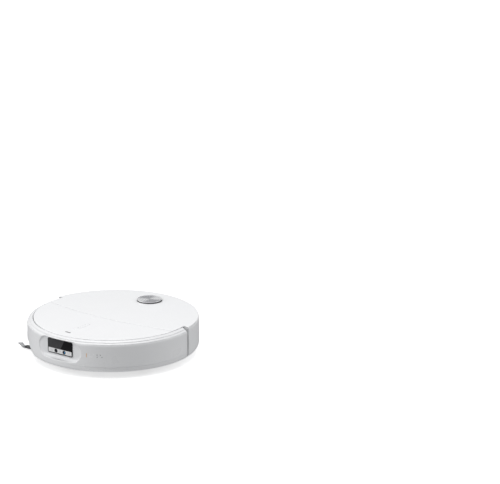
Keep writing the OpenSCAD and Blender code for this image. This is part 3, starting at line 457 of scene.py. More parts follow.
def plastic(
    name, light, shade, rough, grain=900.0, emboss=0.05, coat=0.0, dust=0.0, reach=30.0, metallic=0.0
):
    """Moulded plastic, rubber or painted metal. rough is the glossiest and the dullest roughness."""
    mat, shader = base_material(name)
    group = place_group(mat, MOULDED)
    set_inputs(mat.node_tree, group, {
        "Light": rgba(light), "Shade": rgba(shade),
        "Grain scale": grain, "High gloss": rough[0], "Low gloss": rough[1],
    })
    set_inputs(mat.node_tree, shader, {
        "Base Color": group.outputs["Color"], "Roughness": group.outputs["Roughness"],
        "Coat Weight": coat, "Coat Roughness": 0.12, "Metallic": metallic,
    })
    if dust:
        add_dust(mat, shader, group.outputs["Color"], dust, reach)
    bump_from(mat, shader, group.outputs["Height"], emboss, 0.15)
    return mat, shader


def spun_metal(name, light, shade, centre, anisotropy):
    mat, shader = base_material(name)
    group = place_group(mat, BRUSHED, centre)
    set_inputs(mat.node_tree, group, {"Light": rgba(light), "Shade": rgba(shade)})
    tangent = mat.node_tree.nodes.new("ShaderNodeTangent")
    tangent.direction_type = "RADIAL"
    tangent.axis = "Z"
    # The shader is only part metallic, so that the painted highlight and painted shade sectors of its colour
    # show
    set_inputs(mat.node_tree, shader, {
        "Base Color": group.outputs["Color"], "Roughness": group.outputs["Roughness"],
        "Metallic": 0.55, "Anisotropic": anisotropy, "Tangent": tangent.outputs[0],
    })
    bump_from(mat, shader, group.outputs["Height"], 0.12, 0.05)
    return mat, shader


def cloth(name, tip, root, scale, strength, distance):
    mat, shader = base_material(name)
    group = place_group(mat, PILE)
    set_inputs(mat.node_tree, group, {"Tip": rgba(tip), "Root": rgba(root), "Loop scale": scale})
    set_inputs(mat.node_tree, shader, {
        "Base Color": group.outputs["Color"], "Roughness": group.outputs["Roughness"],
        "Sheen Weight": 0.35, "Sheen Roughness": 0.5,
    })
    bump_from(mat, shader, group.outputs["Height"], strength, distance)
    return mat, shader


def window_glass():
    """Polished black glass over a display, whose inner half is painted a shade lighter beyond a slanting edge,
    as a painted reflection.
    """
    mat, shader = base_material("window_black")
    tree = mat.node_tree
    where = tree.nodes.new("ShaderNodeTexCoord")
    split = tree.nodes.new("ShaderNodeSeparateXYZ")
    tree.links.new(where.outputs["Object"], split.inputs[0])
    # Painted reflection: the glass is painted lighter on one side of a slanting line
    reflection_slant = math_node(tree, "SUBTRACT", split.outputs[0], math_node(tree, "MULTIPLY", split.outputs[2], 0.55))
    painted_reflection_mask = spread(tree, reflection_slant, 1.0, 0.0, -0.0262, -0.0258)
    smear = noise(tree, where.outputs["Object"], 60.0, 3.0, 0.6)
    painted_reflection_tone = mix_colour(tree, smear, (0.045, 0.045, 0.047, 1.0), (0.065, 0.065, 0.068, 1.0))
    tree.links.new(mix_colour(tree, painted_reflection_mask, (0.006, 0.006, 0.007, 1.0), painted_reflection_tone), shader.inputs["Base Color"])
    tree.links.new(spread(tree, smear, 0.05, 0.12, 0.3, 0.7), shader.inputs["Roughness"])
    shader.inputs["Specular IOR Level"].default_value = 0.22


def lens_glass():
    mat, shader = base_material("lens_glass")
    tree = mat.node_tree
    where = tree.nodes.new("ShaderNodeTexCoord")
    split = tree.nodes.new("ShaderNodeSeparateXYZ")
    tree.links.new(where.outputs["Object"], split.inputs[0])
    # Painted reflection: a blue glint painted on the lens at positive X, beyond about 10 mm from the middle
    painted_glint_side = spread(tree, split.outputs[0], 0.0, 1.0, 0.010, 0.0135)
    fleck = noise(tree, where.outputs["Object"], 300.0, 2.0, 0.5)
    painted_blue_glint = mix_colour(tree, fleck, (0.03, 0.25, 0.60, 1.0), (0.12, 0.50, 0.90, 1.0))
    tree.links.new(mix_colour(tree, painted_glint_side, (0.012, 0.014, 0.02, 1.0), painted_blue_glint), shader.inputs["Base Color"])
    tree.links.new(spread(tree, fleck, 0.03, 0.08), shader.inputs["Roughness"])
    shader.inputs["Specular IOR Level"].default_value = 0.35


def make_finishes():
    plastic("shell_white", (0.86, 0.86, 0.865), (0.82, 0.822, 0.83), (0.26, 0.36), 1400.0, 0.03, coat=0.12)
    plastic("cover_white", (0.90, 0.90, 0.905), (0.87, 0.872, 0.88), (0.30, 0.40), 1400.0, 0.02, coat=0.1)
    plastic("bezel_white", (0.84, 0.842, 0.85), (0.80, 0.803, 0.815), (0.34, 0.44), 1800.0, 0.04)
    plastic("inner_white", (0.70, 0.70, 0.71), (0.63, 0.63, 0.64), (0.5, 0.62), 1200.0, 0.12)
    plastic(
        "base_grey", (0.25, 0.255, 0.265), (0.20, 0.205, 0.215), (0.52, 0.66), 1500.0, 0.3,
        dust=0.25, reach=30,
    )
    plastic(
        "dark_plastic", (0.065, 0.066, 0.07), (0.045, 0.046, 0.05), (0.42, 0.58), 1500.0, 0.25,
        dust=0.3, reach=24,
    )
    plastic("box_smoke", (0.10, 0.105, 0.115), (0.07, 0.075, 0.085), (0.12, 0.22), 700.0, 0.02, coat=0.5)
    plastic("tank_clear", (0.50, 0.60, 0.68), (0.42, 0.52, 0.60), (0.2, 0.32), 700.0, 0.03, coat=0.3)
    plastic(
        "tyre_rubber", (0.055, 0.055, 0.058), (0.035, 0.035, 0.037), (0.68, 0.85), 1100.0, 0.4,
        dust=0.5, reach=40,
    )
    plastic(
        "caster_plastic", (0.13, 0.13, 0.14), (0.09, 0.09, 0.10), (0.4, 0.55), 1100.0, 0.2, dust=0.4, reach=24
    )
    plastic("belt_rubber", (0.03, 0.03, 0.03), (0.018, 0.018, 0.018), (0.6, 0.75), 900.0, 0.2)
    plastic(
        "roller_core", (0.62, 0.17, 0.045), (0.50, 0.12, 0.03), (0.4, 0.55), 900.0, 0.1, dust=0.25, reach=30
    )
    plastic("bristle", (0.10, 0.10, 0.11), (0.04, 0.04, 0.045), (0.35, 0.55), 600.0, 0.1)
    plastic("side_bristle", (0.52, 0.525, 0.535), (0.36, 0.362, 0.37), (0.35, 0.5), 500.0, 0.1)
    plastic("circuit_board", (0.015, 0.12, 0.06), (0.01, 0.08, 0.04), (0.22, 0.34), 500.0, 0.15, coat=0.2)
    plastic("battery_wrap", (0.05, 0.11, 0.28), (0.035, 0.08, 0.21), (0.25, 0.4), 400.0, 0.1, coat=0.2)
    plastic("motor_steel", (0.52, 0.52, 0.54), (0.42, 0.42, 0.44), (0.3, 0.45), 1200.0, 0.1, metallic=1.0)
    plastic("screw_steel", (0.55, 0.55, 0.57), (0.45, 0.45, 0.47), (0.25, 0.4), 2000.0, 0.1, metallic=1.0)
    plastic("spring_steel", (0.45, 0.45, 0.47), (0.35, 0.35, 0.37), (0.25, 0.4), 2000.0, 0.1, metallic=1.0)
    plastic("contact_metal", (0.68, 0.66, 0.62), (0.58, 0.56, 0.52), (0.2, 0.34), 2500.0, 0.1, metallic=1.0)
    plastic("brass", (0.70, 0.53, 0.24), (0.60, 0.44, 0.18), (0.25, 0.4), 1500.0, 0.1, metallic=1.0)
    plastic("filter_paper", (0.80, 0.79, 0.75), (0.70, 0.69, 0.65), (0.85, 0.95), 2500.0, 0.4)
    plastic("amber_ink", (0.80, 0.42, 0.10), (0.72, 0.36, 0.08), (0.4, 0.5), 900.0, 0.02)
    plastic("pale_ink", (0.90, 0.90, 0.91), (0.86, 0.86, 0.87), (0.4, 0.5), 900.0, 0.02)
    plastic("grey_ink", (0.44, 0.45, 0.46), (0.38, 0.39, 0.40), (0.4, 0.5), 900.0, 0.02)
    plastic("light_smoke", (0.05, 0.05, 0.055), (0.03, 0.03, 0.035), (0.3, 0.4), 600.0, 0.02)
    # A darker copy of side_bristle, used as painted shade on the side brush's roots
    plastic("dark_bristle", (0.20, 0.20, 0.21), (0.11, 0.11, 0.115), (0.35, 0.5), 500.0, 0.1)
    plastic("fin_rubber", (0.10, 0.10, 0.105), (0.07, 0.07, 0.075), (0.5, 0.65), 900.0, 0.1)
    # Light and Shade here are the painted highlight and painted shade sectors of the lidar cap
    spun_metal("brushed_metal", (0.97, 0.97, 0.975), (0.46, 0.46, 0.48), (0, LIDAR_Y, 0), 0.85)
    # The root colour is the painted shade in the hollows between the loops
    cloth("mop_cloth", (0.62, 0.64, 0.67), (0.28, 0.30, 0.33), 420.0, 0.8, 1.2)
    window_glass()
    lens_glass()


make_finishes()

# ---------------------------------------------------------------- shapes that repeat


def arc(cx, cy, rx, ry, start, end, steps):
    """Points on part of an ellipse, angles in degrees."""
    turns = [math.radians(start + (end - start) * i / steps) for i in range(steps + 1)]
    return [(cx + rx * math.cos(t), cy + ry * math.sin(t)) for t in turns]


def circle_outline(r, steps=96):
    return arc(0, 0, r, r, 0, 360 - 360 / steps, steps - 1)


def rounded_outline(w, h, r, steps=8):
    """A rectangle with round corners, anticlockwise from its right side."""
    points = []
    for sx, sy, start in ((1, 1, 0), (-1, 1, 90), (-1, -1, 180), (1, -1, 270)):
        points += arc(sx * (w / 2 - r), sy * (h / 2 - r), r, r, start, start + 90, steps)
    return points


def stadium_outline(length, w, steps=16):
    half = (length - w) / 2
    return arc(half, 0, w / 2, w / 2, -90, 90, steps) + arc(-half, 0, w / 2, w / 2, 90, 270, steps)


def inset(points, distance):
    """The outline moved inwards by that distance, for an anticlockwise outline."""
    moved, count = [], len(points)
    for i, (x, y) in enumerate(points):
        before, after = Vector(points[i - 1]), Vector(points[(i + 1) % count])
        along = after - before
        if along.length < 1e-9:
            moved.append((x, y))
            continue
        along.normalize()
        moved.append((x - along.y * distance, y + along.x * distance))
    return moved


def grow(bm, verts, points, closed=True):
    """Extrudes a chain of vertices to new places and returns the new chain."""
    pairs = [(verts[i - 1], verts[i]) for i in range(0 if closed else 1, len(verts))]
    edges = [bm.edges.get(pair) for pair in pairs]
    made = bmesh.ops.extrude_edge_only(bm, edges=edges)["geom"]
    fresh = {g for g in made if isinstance(g, bmesh.types.BMVert)}
    following = []
    for vert, point in zip(verts, points):
        new = next(e.other_vert(vert) for e in vert.link_edges if e.other_vert(vert) in fresh)
        new.co = point
        following.append(new)
    return following


def first_ring(bm, points, closed=True):
    verts = [bm.verts.new(p) for p in points]
    for i in range(0 if closed else 1, len(verts)):
        bm.edges.new((verts[i - 1], verts[i]))
    return verts


def loft(bm, rings, cap_first=True, cap_last=True):
    """A skin over closed rings of points that all have the same count."""
    verts = first_ring(bm, rings[0])
    start = verts
    if cap_first:
        bm.faces.new(verts)
    for ring in rings[1:]:
        verts = grow(bm, verts, ring)
    if cap_last:
        bm.faces.new(verts)
    return start, verts


def slab_rings(outline, z0, z1, edge, steps=3):
    """Rings of a flat slab whose two rims are rounded."""
    turns = [math.radians(90 * i / steps) for i in range(steps + 1)]
    falls = [edge * (1 - math.cos(t)) for t in turns]
    climbs = [edge * (1 - math.sin(t)) for t in turns]
    lower = [[(x, y, z0 + fall) for x, y in inset(outline, climb)] for fall, climb in zip(falls, climbs)]
    upper = [[(x, y, z1 - climb) for x, y in inset(outline, fall)] for fall, climb in zip(falls, climbs)]
    return lower + upper


def slab(bm, outline, z0, z1, edge=0.5):
    loft(bm, slab_rings(outline, z0, z1, edge))


def revolve(bm, profile, centre=(0, 0), steps=96, start=0.0, sweep=360.0, loop=False):
    """Spins an (r, z) profile about Z. A part turn of a closed loop keeps its two end faces."""
    a = math.radians(start)
    points = [(centre[0] + r * math.cos(a), centre[1] + r * math.sin(a), z) for r, z in profile]
    verts = first_ring(bm, points, closed=loop)
    edges = list({e for v in verts for e in v.link_edges if e.other_vert(v) in verts})
    whole = sweep >= 360.0
    geom = verts + edges
    if loop and not whole:
        geom = geom + [bm.faces.new(verts)]
    turn = math.radians(sweep)
    bmesh.ops.spin(
        bm, geom=geom, cent=(*centre, 0), axis=(0, 0, 1), angle=turn, steps=steps, use_merge=whole
    )
    bmesh.ops.remove_doubles(bm, verts=bm.verts, dist=0.0005)


def face_out(bm, outward):
    """Turns an open skin so that its faces look along outward(place)."""
    bmesh.ops.recalc_face_normals(bm, faces=bm.faces)
    vote = 0.0
    for face in bm.faces:
        agrees = face.normal.dot(outward(face.calc_center_median())) > 0
        vote += face.calc_area() if agrees else -face.calc_area()
    if vote < 0:
        bmesh.ops.reverse_faces(bm, faces=bm.faces)


def make_object(bm, name, finish, sharp=32.0, scale=MM):
    bm.transform(Matrix.Scale(scale, 4))
    mesh = bpy.data.meshes.new(name)
    bm.to_mesh(mesh)
    bm.free()
    mesh.shade_smooth()
    mesh.set_sharp_from_angle(angle=math.radians(sharp))
    piece = bpy.data.objects.new(name, mesh)
    bpy.context.collection.objects.link(piece)
    mesh.materials.append(FINISH[finish])
    return piece


def add_piece(bm, name, finish, body, *stands_for, sharp=32.0, skin=0.0, outward=None):
    """A finished piece: its faces turned out, its finish, its body and the CAD nodes that it stands for.
    skin is the wall thickness given to an open skin, in millimetres."""
    if outward:
        face_out(bm, outward)
    else:
        bmesh.ops.recalc_face_normals(bm, faces=bm.faces)
    piece = make_object(bm, name, finish, sharp)
    if skin:
        wall = piece.modifiers.new("wall", "SOLIDIFY")
        wall.thickness = skin * MM
        wall.offset = -1.0
    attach(piece, body)
    if stands_for:
        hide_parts(*stands_for)
    return piece


def carve(bm, cutter):
    """Cuts the solid cutter out of the solid bm and returns the result as a new bmesh."""
    for solid in (bm, cutter):
        bmesh.ops.recalc_face_normals(solid, faces=solid.faces)
    target = make_object(bm, "carve_target", "shell_white", scale=1.0)
    tool = make_object(cutter, "carve_tool", "shell_white", scale=1.0)
    cut = target.modifiers.new("cut", "BOOLEAN")
    cut.operation = "DIFFERENCE"
    cut.solver = "EXACT"
    cut.object = tool
    bpy.context.view_layer.update()
    mesh = bpy.data.meshes.new_from_object(target.evaluated_get(bpy.context.evaluated_depsgraph_get()))
    result = bmesh.new()
    result.from_mesh(mesh)
    for piece in (target, tool):
        old = piece.data
        bpy.data.objects.remove(piece)
        bpy.data.meshes.remove(old)
    bpy.data.meshes.remove(mesh)
    return result


def turn_to_front(bm):
    """Lays a shape drawn on X and Y up against the front: its Y becomes Z and its Z points forwards."""
    bm.transform(Matrix(((1, 0, 0, 0), (0, 0, -1, 0), (0, 1, 0, 0), (0, 0, 0, 1))))


def radial(place):
    return Vector((place.x, place.y, 0.0))


def from_core(place):
    """Away from the middle of the shells."""
    return Vector((place.x, place.y, place.z - SHELL_MID_Z))


def dome_z(x, y):
    return EDGE_Z + CROWN * (1 - (x * x + y * y) / COVER_R**2)


def dome_ring(points, lift=0.0):
    """Points laid on the covers' dome, or lifted off it."""
    return [(x, y, dome_z(x, y) + lift) for x, y in points]


# ---------------------------------------------------------------- bumper


def wall_radius(z):
    """Radius of the bumper's outside at height z, from the crease up to the rim."""
    if z <= BUMPER_TOP - RIM_DROP:
        return BODY_R
    rise = min(1.0, (z - BUMPER_TOP + RIM_DROP) / RIM_DROP)
    return RIM_R + (BODY_R - RIM_R) * math.sqrt(1 - rise * rise)


# The slope over the side brush: its direction from the front, its top and its rise per length
SLOPE_TURN = math.radians(-53.0)
SLOPE_Z = 37.0
SLOPE_RISE = 4 / 3


def slope_bumper(bm):
    """Draws the skin in softly where the bumper slopes up to clear the side brush."""
    for v in bm.verts:
        swing = math.cos(math.atan2(v.co.x, -v.co.y) - SLOPE_TURN)
        r = math.hypot(v.co.x, v.co.y)
        if swing < 0.82:
            continue
        limit = (BODY_R - (SLOPE_Z - v.co.z) / SLOPE_RISE) / swing
        if limit - r > 9:
            continue
        soft = 1.6
        new_r = -soft * math.log(math.exp(-(r - BODY_R) / soft) + math.exp(-(limit - BODY_R) / soft)) + BODY_R
        lip_z = SLOPE_Z - SLOPE_RISE * (BODY_R - LIP_R * swing)
        if new_r < LIP_R and v.co.z < BUMPER_TOP - 20:
            new_r = LIP_R
            fold = max(0.0, v.co.z - BUMPER_LOW) if r < LIP_R + 0.01 else 0.0
            v.co.z = max(v.co.z, lip_z + fold)
        v.co.x *= new_r / r
        v.co.y *= new_r / r
    bmesh.ops.remove_doubles(bm, verts=bm.verts, dist=0.01)


def on_wall(x, z, depth=0.0):
    return Vector((x, -math.sqrt(wall_radius(z) ** 2 - x * x) + depth, z))


def on_stadium(direction, shrink):
    """Where a ray from the recess's middle meets its outline, drawn in by shrink."""
    r = RECESS_R - shrink
    half = RECESS_HALF_W - RECESS_R
    dx, dz = direction
    if abs(dz) > 1e-9 and abs(dx) * r / abs(dz) <= half:
        return dx * r / abs(dz), dz * r / abs(dz)
    centre = half if dx > 0 else -half
    size = dx * dx + dz * dz
    along = dx * centre
    reach = (along + math.sqrt(along * along - size * (centre * centre - r * r))) / size
    return dx * reach, dz * reach


def shell_foot(r_max, z0, z1, depth, steps=8):
    """The rounded foot of a shell, from its widest point down to its lip."""
    return arc(r_max - depth, z1, depth, z1 - z0, 0, -90, steps)


def end_wall(bm, verts, turn, inner_r, z0, z1, edge=0.9):
    """Rounds the end of an arc-shaped skin and closes it inwards to inner_r. turn is +1 or -1 about Z."""
    places = [(math.hypot(v.co.x, v.co.y), math.atan2(v.co.y, v.co.x), v.co.z) for v in verts]
    chain = verts
    for i in (1, 2, 3):
        t = math.radians(30 * i)
        swing = turn * edge * math.sin(t) / BODY_R
        points = []
        for r, a, z in places:
            drop = edge * (1 - math.cos(t))
            z_new = min(max(z, z0 + drop), z1 - drop)
            points.append(((r - drop) * math.cos(a + swing), (r - drop) * math.sin(a + swing), z_new))
        chain = grow(bm, chain, points, closed=False)
    swing = turn * edge / BODY_R
    points = []
    for _, a, z in places:
        z_new = min(max(z, z0 + edge), z1 - edge)
        points.append((inner_r * math.cos(a + swing), inner_r * math.sin(a + swing), z_new))
    grow(bm, chain, points, closed=False)


def arc_skin(profile, start, sweep, steps, inner_r, z0, z1):
    """An open skin: a profile spun part of the way round, with both ends closed inwards."""
    bm = bmesh.new()
    a = math.radians(start)
    verts = first_ring(bm, [(r * math.cos(a), r * math.sin(a), z) for r, z in profile], closed=False)
    edges = [bm.edges.get((verts[i - 1], verts[i])) for i in range(1, len(verts))]
    turn = math.radians(sweep)
    spun = bmesh.ops.spin(
        bm, geom=verts + edges, cent=(0, 0, 0), axis=(0, 0, 1), angle=turn, steps=steps, use_merge=False
    )
    last = [g for g in spun["geom_last"] if isinstance(g, bmesh.types.BMVert)]
    end = math.radians(start + sweep)
    ordered = []
    for r, z in profile:
        place = Vector((r * math.cos(end), r * math.sin(end), z))
        ordered.append(min(last, key=lambda v: (v.co - place).length))
    end_wall(bm, verts, -1, inner_r, z0, z1)
    end_wall(bm, ordered, 1, inner_r, z0, z1)
    return bm


# The recess: its rolled edge, the gap round its dish, and the part of the skin that is drawn anew for it
RECESS_EDGE = 1.3
RECESS_GAP = 0.1
RECESS_TURN_DEG = 23.0
RECESS_BAND_LOW = 27.0


# Where the fine groove runs along the bumper's rounded top edge, as an angle on that edge
GROOVE_DEG = 34
GROOVE_DEPTH = 0.8


def cut_groove(bm):
    """Sinks one row of the rounded edge into a fine groove, which fades out beside the recess."""
    turn = math.radians(GROOVE_DEG)
    row_r = RIM_R + (BODY_R - RIM_R) * math.cos(turn)
    row_z = BUMPER_TOP - RIM_DROP + RIM_DROP * math.sin(turn)
    for v in bm.verts:
        r = math.hypot(v.co.x, v.co.y)
        if abs(r - row_r) > 0.02 or abs(v.co.z - row_z) > 0.02:
            continue
        off_front = abs(math.atan2(v.co.x, -v.co.y)) - math.radians(RECESS_TURN_DEG)
        depth = GROOVE_DEPTH * max(0.0, min(1.0, off_front / 0.06 - 0.3))
        v.co.x *= 1 - depth / r
        v.co.y *= 1 - depth / r
        v.co.z -= depth * 0.6


def make_bumper():
    wall_top = BUMPER_TOP - RIM_DROP
    rows = 14
    wall = [(BODY_R, wall_top + (RECESS_BAND_LOW - wall_top) * i / rows) for i in range(1, rows + 1)]
    crease = [(BODY_R, CREASE_Z + 0.7), (BODY_R - 0.15, CREASE_Z + 0.35), (BODY_R - 0.75, CREASE_Z)]
    profile = (
        [(LIP_R, BUMPER_TOP - 1.8), (LIP_R, BUMPER_TOP - 0.3), (LIP_R + 0.3, BUMPER_TOP)]
        + arc(RIM_R, wall_top, BODY_R - RIM_R, RIM_DROP, 90, GROOVE_DEG + 4, 7)
        + arc(RIM_R, wall_top, BODY_R - RIM_R, RIM_DROP, GROOVE_DEG, GROOVE_DEG, 1)[:1]
        + arc(RIM_R, wall_top, BODY_R - RIM_R, RIM_DROP, GROOVE_DEG - 4, 0, 4)
        + wall
        + crease
        + shell_foot(BODY_R - 0.5, BUMPER_LOW, CREASE_Z - 1.2, 5.4, 9)
        + [(LIP_R, BUMPER_LOW), (LIP_R, BUMPER_LOW + 1.6)]
    )
    half = BUMPER_HALF_DEG - 0.3
    bm = arc_skin(profile, -90 - half, 2 * half, 194, LIP_R - 0.1, BUMPER_LOW, BUMPER_TOP)
    cut_recess(bm)
    cut_groove(bm)
    slope_bumper(bm)
    add_piece(bm, "bumper_skin", "shell_white", "bumper", "bumper", skin=1.5, outward=from_core)


def cut_recess(bm):
    """Opens the bumper's skin round the recess and rolls its edge inwards."""
    turn = math.radians(RECESS_TURN_DEG)

    def in_window(c, more_turn, more):
        in_turn = c.y < 0 and abs(math.atan2(c.x, -c.y)) < turn + more_turn
        return in_turn and c.z > RECESS_BAND_LOW - more[0] and math.hypot(c.x, c.y) > RIM_R - more[1]

    doomed = [face for face in bm.faces if in_window(face.calc_center_median(), 0.0, (0.0, 0.0))]
    bmesh.ops.delete(bm, geom=doomed, context="FACES")
    edge_verts = {v for e in bm.edges if e.is_boundary for v in e.verts if in_window(v.co, 0.02, (0.1, 0.2))}
    ring = sorted(edge_verts, key=lambda v: math.atan2(v.co.z - RECESS_Z, v.co.x * 0.4))
    directions = [(v.co.x, v.co.z - RECESS_Z) for v in ring]
    starts = [(v.co.x, v.co.z) for v in ring]
    for share in (0.35, 0.65, 0.85):
        points = []
        for (x, z), d in zip(starts, directions):
            sx, sz = on_stadium(d, -RECESS_EDGE)
            points.append(on_wall(x + (sx - x) * share, z + (sz + RECESS_Z - z) * share))
        ring = grow(bm, ring, points)
    for t in (0, 18, 36, 54, 72, 90):
        slope = math.radians(t)
        points = []
        for d in directions:
            x, z = on_stadium(d, -RECESS_EDGE * (1 - math.sin(slope)))
            points.append(on_wall(x, z + RECESS_Z, RECESS_EDGE * (1 - math.cos(slope))))
        ring = grow(bm, ring, points)


def make_recess_dish():
    """The soft-sided dish that lines the recess, down to its flat floor."""
    bm = bmesh.new()
    outline = stadium_outline(2 * RECESS_HALF_W, 2 * RECESS_R, 40)
    directions = [(x, z) for x, z in outline]
    rings = []
    steps = 9
    for i in range(steps + 1):
        t = math.radians(90 * i / steps)
        ring = []
        for d in directions:
            up = d[1] / RECESS_R
            run = 6.0 - 2.8 * up if up > 0 else 6.0 - 1.6 * up
            shrink = RECESS_GAP + run * (1 - math.cos(t))
            x, z = on_stadium(d, shrink)
            edge_x, edge_z = on_stadium(d, RECESS_GAP)
            edge = on_wall(edge_x, edge_z + RECESS_Z, RECESS_EDGE - 0.25)
            y = edge.y + (RECESS_FLOOR_Y - edge.y) * math.sin(t)
            ring.append((x, y, z + RECESS_Z))
        rings.append(ring)
    for share in (0.7, 0.35):
        middle_ring = [(x * share, RECESS_Z + (z - RECESS_Z) * share) for x, _, z in rings[-1]]
        rings.append([(x, RECESS_FLOOR_Y, z) for x, z in middle_ring])
    loft(bm, rings, cap_first=False, cap_last=True)
    forwards = Vector((0, -1, 0))
    add_piece(
        bm, "recess_dish", "bezel_white", "bumper", "sensor_bezel", skin=1.2, outward=lambda _: forwards
    )


def front_slab(outline, x, z, back, front, edge):
    """A slab that faces forwards, between two distances from the middle plane, with its rims rounded."""
    bm = bmesh.new()
    slab(bm, [(px + x, py + z) for px, py in outline], back, front, edge)
    turn_to_front(bm)
    return bm


STRIP_Z = middle("camera_strip", "Z")
LENS_X = high("camera_lenses", "X") - width("camera_lenses", "Z") / 2
LENS_Z = middle("camera_lenses", "Z")
LENS_R = width("camera_lenses", "Z") / 2


def make_window():
    back = -RECESS_FLOOR_Y
    front = -low("sensor_window", "Y")
    w, h = width("sensor_window", "X"), width("sensor_window", "Z")
    z = middle("sensor_window", "Z")
    strip_w, strip_h = width("camera_strip", "X"), width("camera_strip", "Z")
    frame_bm = front_slab(rounded_outline(w, h, 3.4), 0, z, back, front, 0.5)
    opening = rounded_outline(strip_w + 0.2, strip_h + 0.2, 1.5)
    cutter = front_slab(opening, 0, STRIP_Z, front - 0.7, front + 2, 0.05)
    frame_bm = carve(frame_bm, cutter)
    add_piece(frame_bm, "window_frame", "window_black", "bumper", "sensor_window")
    strip = front_slab(rounded_outline(strip_w, strip_h, 1.3), 0, STRIP_Z, front - 0.75, front - 0.25, 0.15)
    for x in (-LENS_X, LENS_X):
        strip = carve(strip, front_slab(circle_outline(LENS_R + 0.15, 48), x, LENS_Z, back, front + 2, 0.01))
    # Speaker and sensor holes: three columns at each side and two in the middle, in two rows
    for group_x in (-22.0, 0.0, 22.0):
        for column in range(3 if group_x else 2):
            for row in range(2):
                x = group_x + (column - (1 if group_x else 0.5)) * 2.1
                z = STRIP_Z + (row - 0.5) * 2.2
                dot = front_slab(circle_outline(0.45, 12), x, z, back, front + 2, 0.01)
                strip = carve(strip, dot)
    add_piece(strip, "camera_strip_plate", "shell_white", "bumper", "camera_strip")
    make_lenses(front)


def lay_at_lens(part, x, bm):
    turn_to_front(part)
    part.transform(Matrix.Translation((x, 0, LENS_Z)))
    copy_into(bm, part)


def make_lenses(front):
    barrels, glass = bmesh.new(), bmesh.new()
    for x in (-LENS_X, LENS_X):
        part = bmesh.new()
        section = ((-0.9, -1.2), (0, -1.2), (0, -0.1), (-0.25, 0.1), (-0.6, 0.1), (-0.9, -0.2))
        revolve(part, [(LENS_R + r, front + z) for r, z in section], steps=48, loop=True)
        lay_at_lens(part, x, barrels)
        part = bmesh.new()
        r = LENS_R - 0.95
        dome = arc(0, front - 0.6, r, 0.6, 0, 90, 8)[1:]
        revolve(part, [(0, front - 1.0), (r, front - 1.0)] + dome, steps=48)
        lay_at_lens(part, x, glass)
    add_piece(barrels, "lens_barrels", "dark_plastic", "bumper")
    add_piece(glass, "lens_glasses", "lens_glass", "bumper", "camera_lenses")


def copy_into(bm, part):
    """Adds one bmesh's shape to another and frees it."""
    mesh = bpy.data.meshes.new("part")
    part.to_mesh(mesh)
    part.free()
    bm.from_mesh(mesh)
    bpy.data.meshes.remove(mesh)


def wall_patch(angle, z, w, h, corner, lift):
    """A thin inlay that follows the bumper's wall. angle is from the front towards the body's left."""
    bm = bmesh.new()
    outline = rounded_outline(w, h, corner, 4)
    slab(bm, outline, -0.4, lift, 0.03)
    bmesh.ops.triangulate(bm, faces=[f for f in bm.faces if len(f.verts) > 4])
    for v in bm.verts:
        turn = math.radians(angle) + v.co.x / BODY_R
        r = BODY_R + v.co.z
        v.co = Vector((r * math.sin(turn), -r * math.cos(turn), z + v.co.y))
    return bm


def make_wall_marks():
    """Generic marks on the wall: an amber tick, two pale bars and three grey dashes."""
    add_piece(wall_patch(21.9, 49.0, 1.1, 8.4, 0.5, 0.06), "amber_tick", "amber_ink", "bumper")
    pale, grey = bmesh.new(), bmesh.new()
    for i, w in enumerate((11.0, 8.5)):
        copy_into(pale, wall_patch(25.2 - 0.4 * i, 51.4 - 4.6 * i, w, 3.0, 0.4, 0.05))
    for angle, z, w in ((29.0, 51.0, 2.6), (31.2, 51.0, 2.6), (30.6, 46.6, 12.0)):
        copy_into(grey, wall_patch(angle, z, w, 1.6, 0.3, 0.05))
    add_piece(pale, "pale_bars", "pale_ink", "bumper")
    add_piece(grey, "grey_dashes", "grey_ink", "bumper")


def make_side_sensor():
    """The low swelling over the side distance sensor."""
    bm = bmesh.new()
    columns, rows = 24, 20
    bmesh.ops.create_grid(bm, x_segments=columns, y_segments=rows, size=1.0)
    half_turn = math.radians(5.2)
    z_mid, z_half = middle("side_sensor_cover", "Z"), width("side_sensor_cover", "Z") / 2
    for v in bm.verts:
        u, w = v.co.x, v.co.y
        swell = max(0.0, 1 - abs(u) ** 2.6) * max(0.0, 1 - abs(w) ** 2.6)
        turn = SLOPE_TURN + u * half_turn
        r = BODY_R - 0.15 + 0.95 * swell**0.7
        v.co = Vector((r * math.sin(turn), -r * math.cos(turn), z_mid + w * z_half))
    add_piece(bm, "side_sensor_window", "shell_white", "bumper", "side_sensor_cover", skin=0.8, outward=radial)


# ---------------------------------------------------------------- covers


def seam_y(x, gap):
    return SEAM_FRONT_Y + SEAM_R - math.sqrt((SEAM_R + gap) ** 2 - x * x)


def seam_end(radius, gap):
    """Where the seam meets a circle about the middle."""
    y = (SEAM_FRONT_Y + SEAM_R) ** 2 + radius**2 - (SEAM_R + gap) ** 2
    y = y / (2 * (SEAM_FRONT_Y + SEAM_R))
    return math.sqrt(radius**2 - y * y), y


def seam_points(x_start, gap, numbers):
    """Points along the seam, out of the 61 from x_start to its mirror image."""
    places = [x_start - 2 * x_start * i / 60 for i in numbers]
    return [(x, seam_y(x, gap)) for x in places]


def panel_outline():
    x_end, y_end = seam_end(PANEL_R, SEAM_GAP / 2)
    start = math.degrees(math.atan2(y_end, -x_end))
    end = math.degrees(math.atan2(y_end, x_end))
    rim = arc(0, 0, PANEL_R, PANEL_R, start if start < 0 else start - 360, end, 110)
    return rim + seam_points(x_end, SEAM_GAP / 2, range(1, 60))


